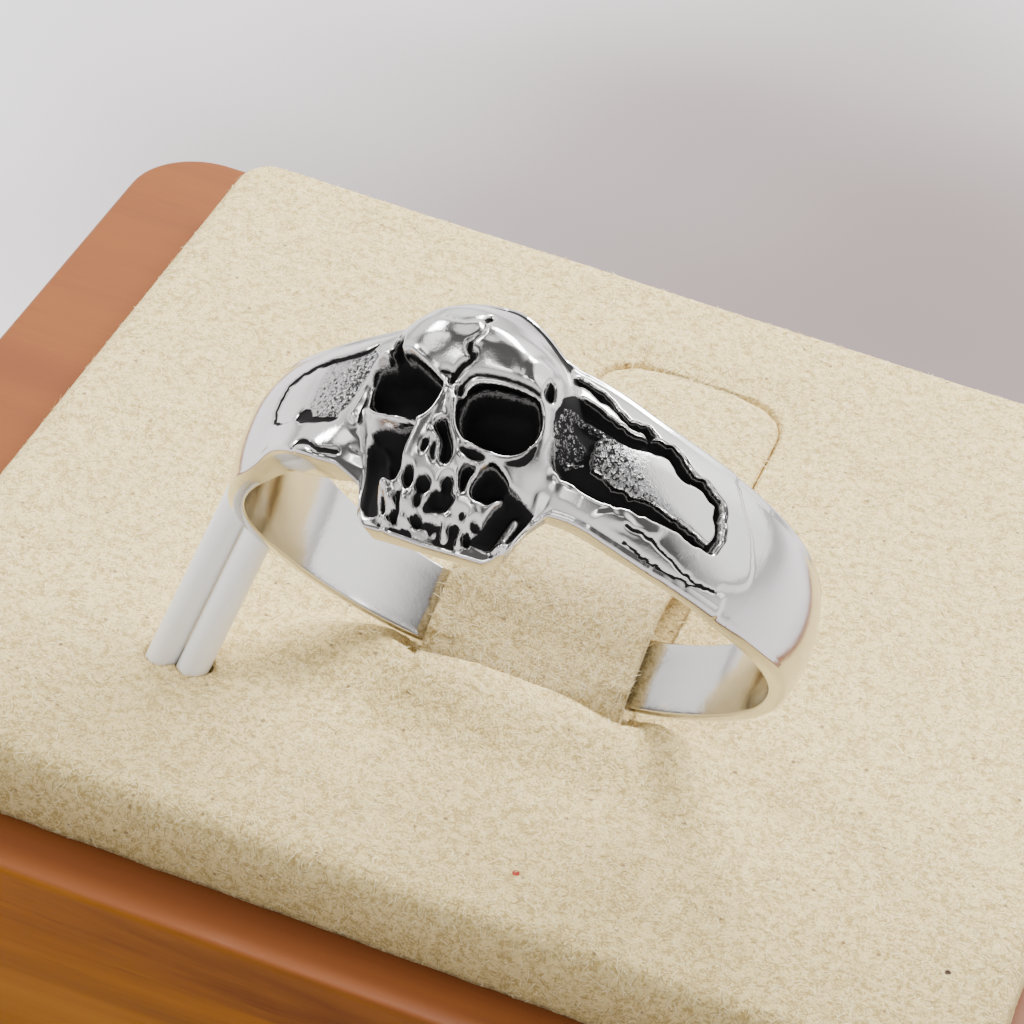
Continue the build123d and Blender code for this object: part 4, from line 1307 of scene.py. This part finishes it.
# %% [markdown]
# ## The nap
# Suede has short fibres that lie nearly flat in all directions. Geometry Nodes strew them: points
# are scattered over a surface, and on each point stands a thin bent blade with its own turn, tilt
# and size. A random number is stored with each blade, and the finish reads it as that fibre's
# shade. Realizing the instances turns all blades into one plain mesh, which is kept.

# %% Nap tree
# name and kind of what the tree is given
NAP_INPUTS = [("Surface", "Geometry"), ("Density", "Float"), ("Length", "Float"), ("Width", "Float"),
              ("Least rise", "Float"), ("Most rise", "Float"), ("Seed", "Int"), ("Finish", "Material")]
tip_width, blade_curl = 0.35, -0.30
least_size, most_size = 0.55, 1.35


def bent_blade(tree, given):
    """One fibre: a strip that gets narrower and bends down towards its tip."""
    blade = add_node(tree, "GeometryNodeMeshGrid",
                     {"Size X": given["Width"], "Size Y": given["Length"], "Vertices X": 2, "Vertices Y": 3})
    place = add_node(tree, "GeometryNodeInputPosition").outputs[0]
    place = add_node(tree, "ShaderNodeSeparateXYZ", {0: place}).outputs
    run = calculate(tree, "ADD", calculate(tree, "DIVIDE", place["Y"], given["Length"]), 0.5)
    width = calculate(tree, "MULTIPLY", remap(tree, run, 0.0, 1.0, 1.0, tip_width, smooth=False), place["X"])
    reach = calculate(tree, "MULTIPLY", run, given["Length"])
    curl = calculate(tree, "MULTIPLY", calculate(tree, "MULTIPLY", reach, run), blade_curl)
    bent = add_node(tree, "ShaderNodeCombineXYZ", {"X": width, "Y": reach, "Z": curl}).outputs[0]
    shape = {"Geometry": blade.outputs["Mesh"], "Position": bent}
    return add_node(tree, "GeometryNodeSetPosition", shape).outputs["Geometry"]


def own_random(tree, given, offset, least, most):
    """Random number for each blade, with a seed of its own."""
    seed = calculate(tree, "ADD", given["Seed"], float(offset))
    inputs = {"Min": least, "Max": most, "Seed": seed}
    return add_node(tree, "FunctionNodeRandomValue", inputs, data_type="FLOAT").outputs["Value"]


def nap_tree():
    """Geometry nodes that strew bent blades over a surface, and the keys of their inputs."""
    tree = bpy.data.node_groups.new("strewn nap", "GeometryNodeTree")
    keys = {}
    for name, kind in NAP_INPUTS:
        socket = tree.interface.new_socket(name, in_out="INPUT", socket_type="NodeSocket" + kind)
        keys[name] = socket.identifier
    tree.interface.new_socket("Nap", in_out="OUTPUT", socket_type="NodeSocketGeometry")
    given = tree.nodes.new("NodeGroupInput").outputs
    points = add_node(tree, "GeometryNodeDistributePointsOnFaces",
                      {"Mesh": given["Surface"], "Density": given["Density"], "Seed": given["Seed"]})
    spin = own_random(tree, given, 1, 0.0, 2.0 * math.pi)
    rise = own_random(tree, given, 2, given["Least rise"], given["Most rise"])
    size = own_random(tree, given, 3, least_size, most_size)
    shade = own_random(tree, given, 4, 0.0, 1.0)
    tilt = add_node(tree, "ShaderNodeCombineXYZ", {"X": rise, "Z": spin}).outputs[0]
    turn = add_node(tree, "FunctionNodeEulerToRotation", {0: tilt}).outputs[0]
    turns = {0: points.outputs["Rotation"], 1: turn}
    both = add_node(tree, "FunctionNodeRotateRotation", turns, rotation_space="LOCAL")
    strewn = add_node(tree, "GeometryNodeInstanceOnPoints",
                      {"Points": points.outputs["Points"], "Instance": bent_blade(tree, given),
                       "Rotation": both.outputs[0], "Scale": size})
    stored = {"Geometry": strewn.outputs[0], "Name": "strand", "Value": shade}
    kept = add_node(tree, "GeometryNodeStoreNamedAttribute", stored, data_type="FLOAT", domain="INSTANCE")
    plain = add_node(tree, "GeometryNodeRealizeInstances", {0: kept.outputs[0]}).outputs[0]
    finish = add_node(tree, "GeometryNodeSetMaterial", {"Geometry": plain, "Material": given["Finish"]})
    add_node(tree, "NodeGroupOutput", {"Nap": finish.outputs[0]})
    return tree, keys


# %% Nap on the pad and the flap
fibre_width, nap_split = 0.030, -2.0
pocket_floor, flap_floor = 0.45, 0.2
upward, downward, outward = 0.5, -0.3, 0.25
nap_nodes, nap_keys = nap_tree()


def strew_nap(name, piece, chosen, fibre, count, length, rise, seed):
    """Nap as one mesh on the chosen faces of a piece; it moves with the piece."""
    mesh = piece.data
    spots = [tuple(vertex.co) for vertex in mesh.vertices]
    centres = np.array([polygon.center for polygon in mesh.polygons]) / MM
    normals = np.array([polygon.normal for polygon in mesh.polygons])
    quads = np.array([len(polygon.vertices) == 4 for polygon in mesh.polygons])
    kept = [mesh.polygons[index] for index in np.nonzero(chosen(centres, normals) & quads)[0]]
    area = sum(polygon.area for polygon in kept)
    ground = bpy.data.meshes.new(name)
    ground.from_pydata(spots, [], [tuple(polygon.vertices) for polygon in kept])
    carrier = bpy.data.objects.new(name, ground)
    bpy.context.scene.collection.objects.link(carrier)
    modifier = carrier.modifiers.new("nap", "NODES")
    modifier.node_group = nap_nodes
    values = {"Density": count / area, "Length": length * MM, "Width": fibre_width * MM,
              "Least rise": rise[0], "Most rise": rise[1], "Seed": seed, "Finish": fibre}
    for key, value in values.items():
        modifier[nap_keys[key]] = value
    graph = bpy.context.evaluated_depsgraph_get()
    plain = bpy.data.meshes.new_from_object(carrier.evaluated_get(graph))
    carrier.modifiers.remove(modifier)
    carrier.data = plain
    carrier.parent = piece
    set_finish(carrier, piece["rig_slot"])
    triangles = sum(len(polygon.vertices) - 2 for polygon in plain.polygons)
    print(name, "area", round(area / MM ** 2), "mm2,", triangles, "triangles")


def pad_faces(centres, normals):
    """Top and sides of the pad, without the floor of the pocket and of the pin holes."""
    buried = (normals[:, 2] > upward) & (centres[:, 2] < pad_top - pocket_floor)
    return (normals[:, 2] > downward) & ~buried


def near_faces(centres, normals):
    """Near part of those faces."""
    return pad_faces(centres, normals) & (centres[:, 1] < nap_split)


def far_faces(centres, normals):
    """Far part of those faces."""
    return pad_faces(centres, normals) & (centres[:, 1] >= nap_split)


def flap_faces(centres, normals):
    """Outer face of the flap and its cut edges above the pad."""
    outer = normals[:, 2] + np.maximum(-normals[:, 1], 0.0) > outward
    return outer & (centres[:, 2] > pad_top - flap_floor)


# name, piece, faces, finish, number of fibres, length, least and most rise in radians, seed
strew_nap("pad_nap_near", pad, near_faces, nap, 48500, 0.32, (-0.02, 0.30), 21)
strew_nap("pad_nap_far", pad, far_faces, nap, 48500, 0.34, (-0.02, 0.30), 31)
strew_nap("flap_nap", flap, flap_faces, shade_painted_nap, 16000, 0.32, (0.0, 0.26), 41)

# %% [markdown]
# ## The pins
# Each pin is a turned rod with a small round at its top, leaning back as in the photograph. The
# profile of a turned part is a short list of radius and height, spun round the axis.

# %% Pins
pin_axis = Vector((pin_drift, pin_tilt, 1.0))
pin_turn = pin_axis.to_track_quat("Z", "X").to_matrix()
pin_length = pin_axis.length * (pin_height + pin_seat)
pin_sides, pin_radius, foot_cut, tip_round = 48, pin_diameter / 2, 0.05, 0.18
profile = [(pin_radius - foot_cut, 0.0), (pin_radius, foot_cut), (pin_radius, pin_length - tip_round)]
for turn in np.linspace(0.3, math.pi / 2, 5):
    radius = pin_radius - tip_round * (1 - math.cos(turn))
    profile.append((radius, pin_length - tip_round * (1 - math.sin(turn))))
for node, (px, py) in zip(("pin_left", "pin_right"), pin_places):
    foot = Vector((px, py, pad_top)) - pin_axis * pin_seat
    points = []
    for radius, height in profile:
        for k in range(pin_sides):
            angle = 2 * math.pi * k / pin_sides
            spot = Vector((radius * math.cos(angle), radius * math.sin(angle), height))
            points.append(tuple(foot + pin_turn @ spot))
    faces = [list(face)[::-1] for face in wrap_faces(len(profile), pin_sides, close_columns=True)]
    faces.append(list(range(pin_sides))[::-1])
    faces.append([(len(profile) - 1) * pin_sides + k for k in range(pin_sides)])
    pin = new_piece("white_" + node, points, faces, plastic)
    stand_in(pin, node, "white_plastic")

# %% [markdown]
# # Floor and light
# The stand is on a plain pale table in a light tent. Behind the stand a painted shadow makes the
# table darker, with a soft, uneven border, as the shade in the background of the photograph is.

# %% Floor
# The first colour is a painted shadow, darkest round a point behind the stand; further away the table fades
# to the pale second colour.
painted_shadow_colour, table_far = (0.165, 0.128, 0.125, 1.0), (0.64, 0.615, 0.62, 1.0)
dark_middle, dark_start, dark_end, dark_sway = (4.0, 46.0, 0.0), 0.016, 0.080, 0.028
floor_half = 900.0
floor_finish, tree, shader = new_finish("pale_table", {"Roughness": 0.8})
place = object_place(tree)
sway = calculate(tree, "MULTIPLY", noise(tree, place, 38.0, 1.0, 0.4), dark_sway)
reach = calculate(tree, "ADD", distance_from(tree, place, dark_middle), sway)
pale = blend_colours(tree, remap(tree, reach, dark_start, dark_end), painted_shadow_colour, table_far)
set_inputs(tree, shader, {"Base Color": pale})
corners = [(-floor_half, -floor_half, 0.0), (floor_half, -floor_half, 0.0),
           (floor_half, floor_half, 0.0), (-floor_half, floor_half, 0.0)]
floor = new_piece("table", corners, [(0, 1, 2, 3)], floor_finish)

# %% [markdown]
# Polished steel shows what is around it, so the light tent must have bright and dark sides. The
# sky is a procedural one: a dim base with soft glows towards a few directions. Most of the side
# where the camera stands stays dim, which draws the dark lines on the faces of the skull that look
# forward. Three lamps add the bright planes and the soft shadow of the stand.

# %% Light tent
sky_level = 0.16
# direction, angle of the border, angle of the full glow, level
GLOWS = [
    ((0.85, 0.50, 0.10), 62.0, 20.0, 2.3),
    ((-0.80, 0.60, 0.10), 58.0, 15.0, 1.7),
    ((0.10, 0.90, 0.45), 48.0, 15.0, 1.1),
    ((-0.20, 0.05, 0.98), 16.0, 8.0, 1.6),
    ((0.11, 0.43, 0.90), 18.0, 8.0, 1.6),
    ((0.49, 0.63, 0.60), 18.0, 8.0, 1.4),
    ((-0.68, -0.42, 0.60), 16.0, 9.0, 2.8),
    ((0.05, -0.90, 0.40), 24.0, 10.0, 1.6),
    ((0.53, -0.56, 0.64), 12.0, 7.0, 1.6),
    ((0.00, -1.00, 0.10), 45.0, 20.0, 0.7),
]
world = bpy.data.worlds.new("light_tent")
world.use_nodes = True
tree = world.node_tree
sky_place = add_node(tree, "ShaderNodeTexCoord").outputs["Generated"]
total_level = sky_level
for direction, border, full, glow_level in GLOWS:
    inputs = {0: sky_place, 1: tuple(Vector(direction).normalized())}
    toward = add_node(tree, "ShaderNodeVectorMath", inputs, operation="DOT_PRODUCT").outputs["Value"]
    low, high = math.cos(math.radians(border)), math.cos(math.radians(full))
    total_level = calculate(tree, "ADD", total_level, remap(tree, toward, low, high, 0.0, glow_level))
set_inputs(tree, tree.nodes["Background"], {"Color": (1.0, 0.985, 0.985, 1.0), "Strength": total_level})
bpy.context.scene.world = world


# %% Lamps
def soft_lamp(name, place, aim, size, power):
    """Rectangular area lamp in millimetres, aimed at a point."""
    lamp = bpy.data.objects.new(name, bpy.data.lights.new(name, "AREA"))
    bpy.context.scene.collection.objects.link(lamp)
    lamp.data.shape = "RECTANGLE"
    lamp.data.size, lamp.data.size_y, lamp.data.energy = size[0] * MM, size[1] * MM, power
    lamp.location = Vector(place) * MM
    lamp.rotation_euler = (Vector(aim) - Vector(place)).to_track_quat("-Z", "Y").to_euler()
    lamp.visible_camera = False


lamp_aim = (0.0, 0.0, 17.0)
soft_lamp("key_lamp", (40.0, 130.0, 190.0), lamp_aim, (150.0, 60.0), 1.15)
soft_lamp("left_lamp", (-190.0, 20.0, 200.0), lamp_aim, (120.0, 60.0), 0.6)
soft_lamp("front_strip", (20.0, -260.0, 190.0), lamp_aim, (200.0, 14.0), 0.12)
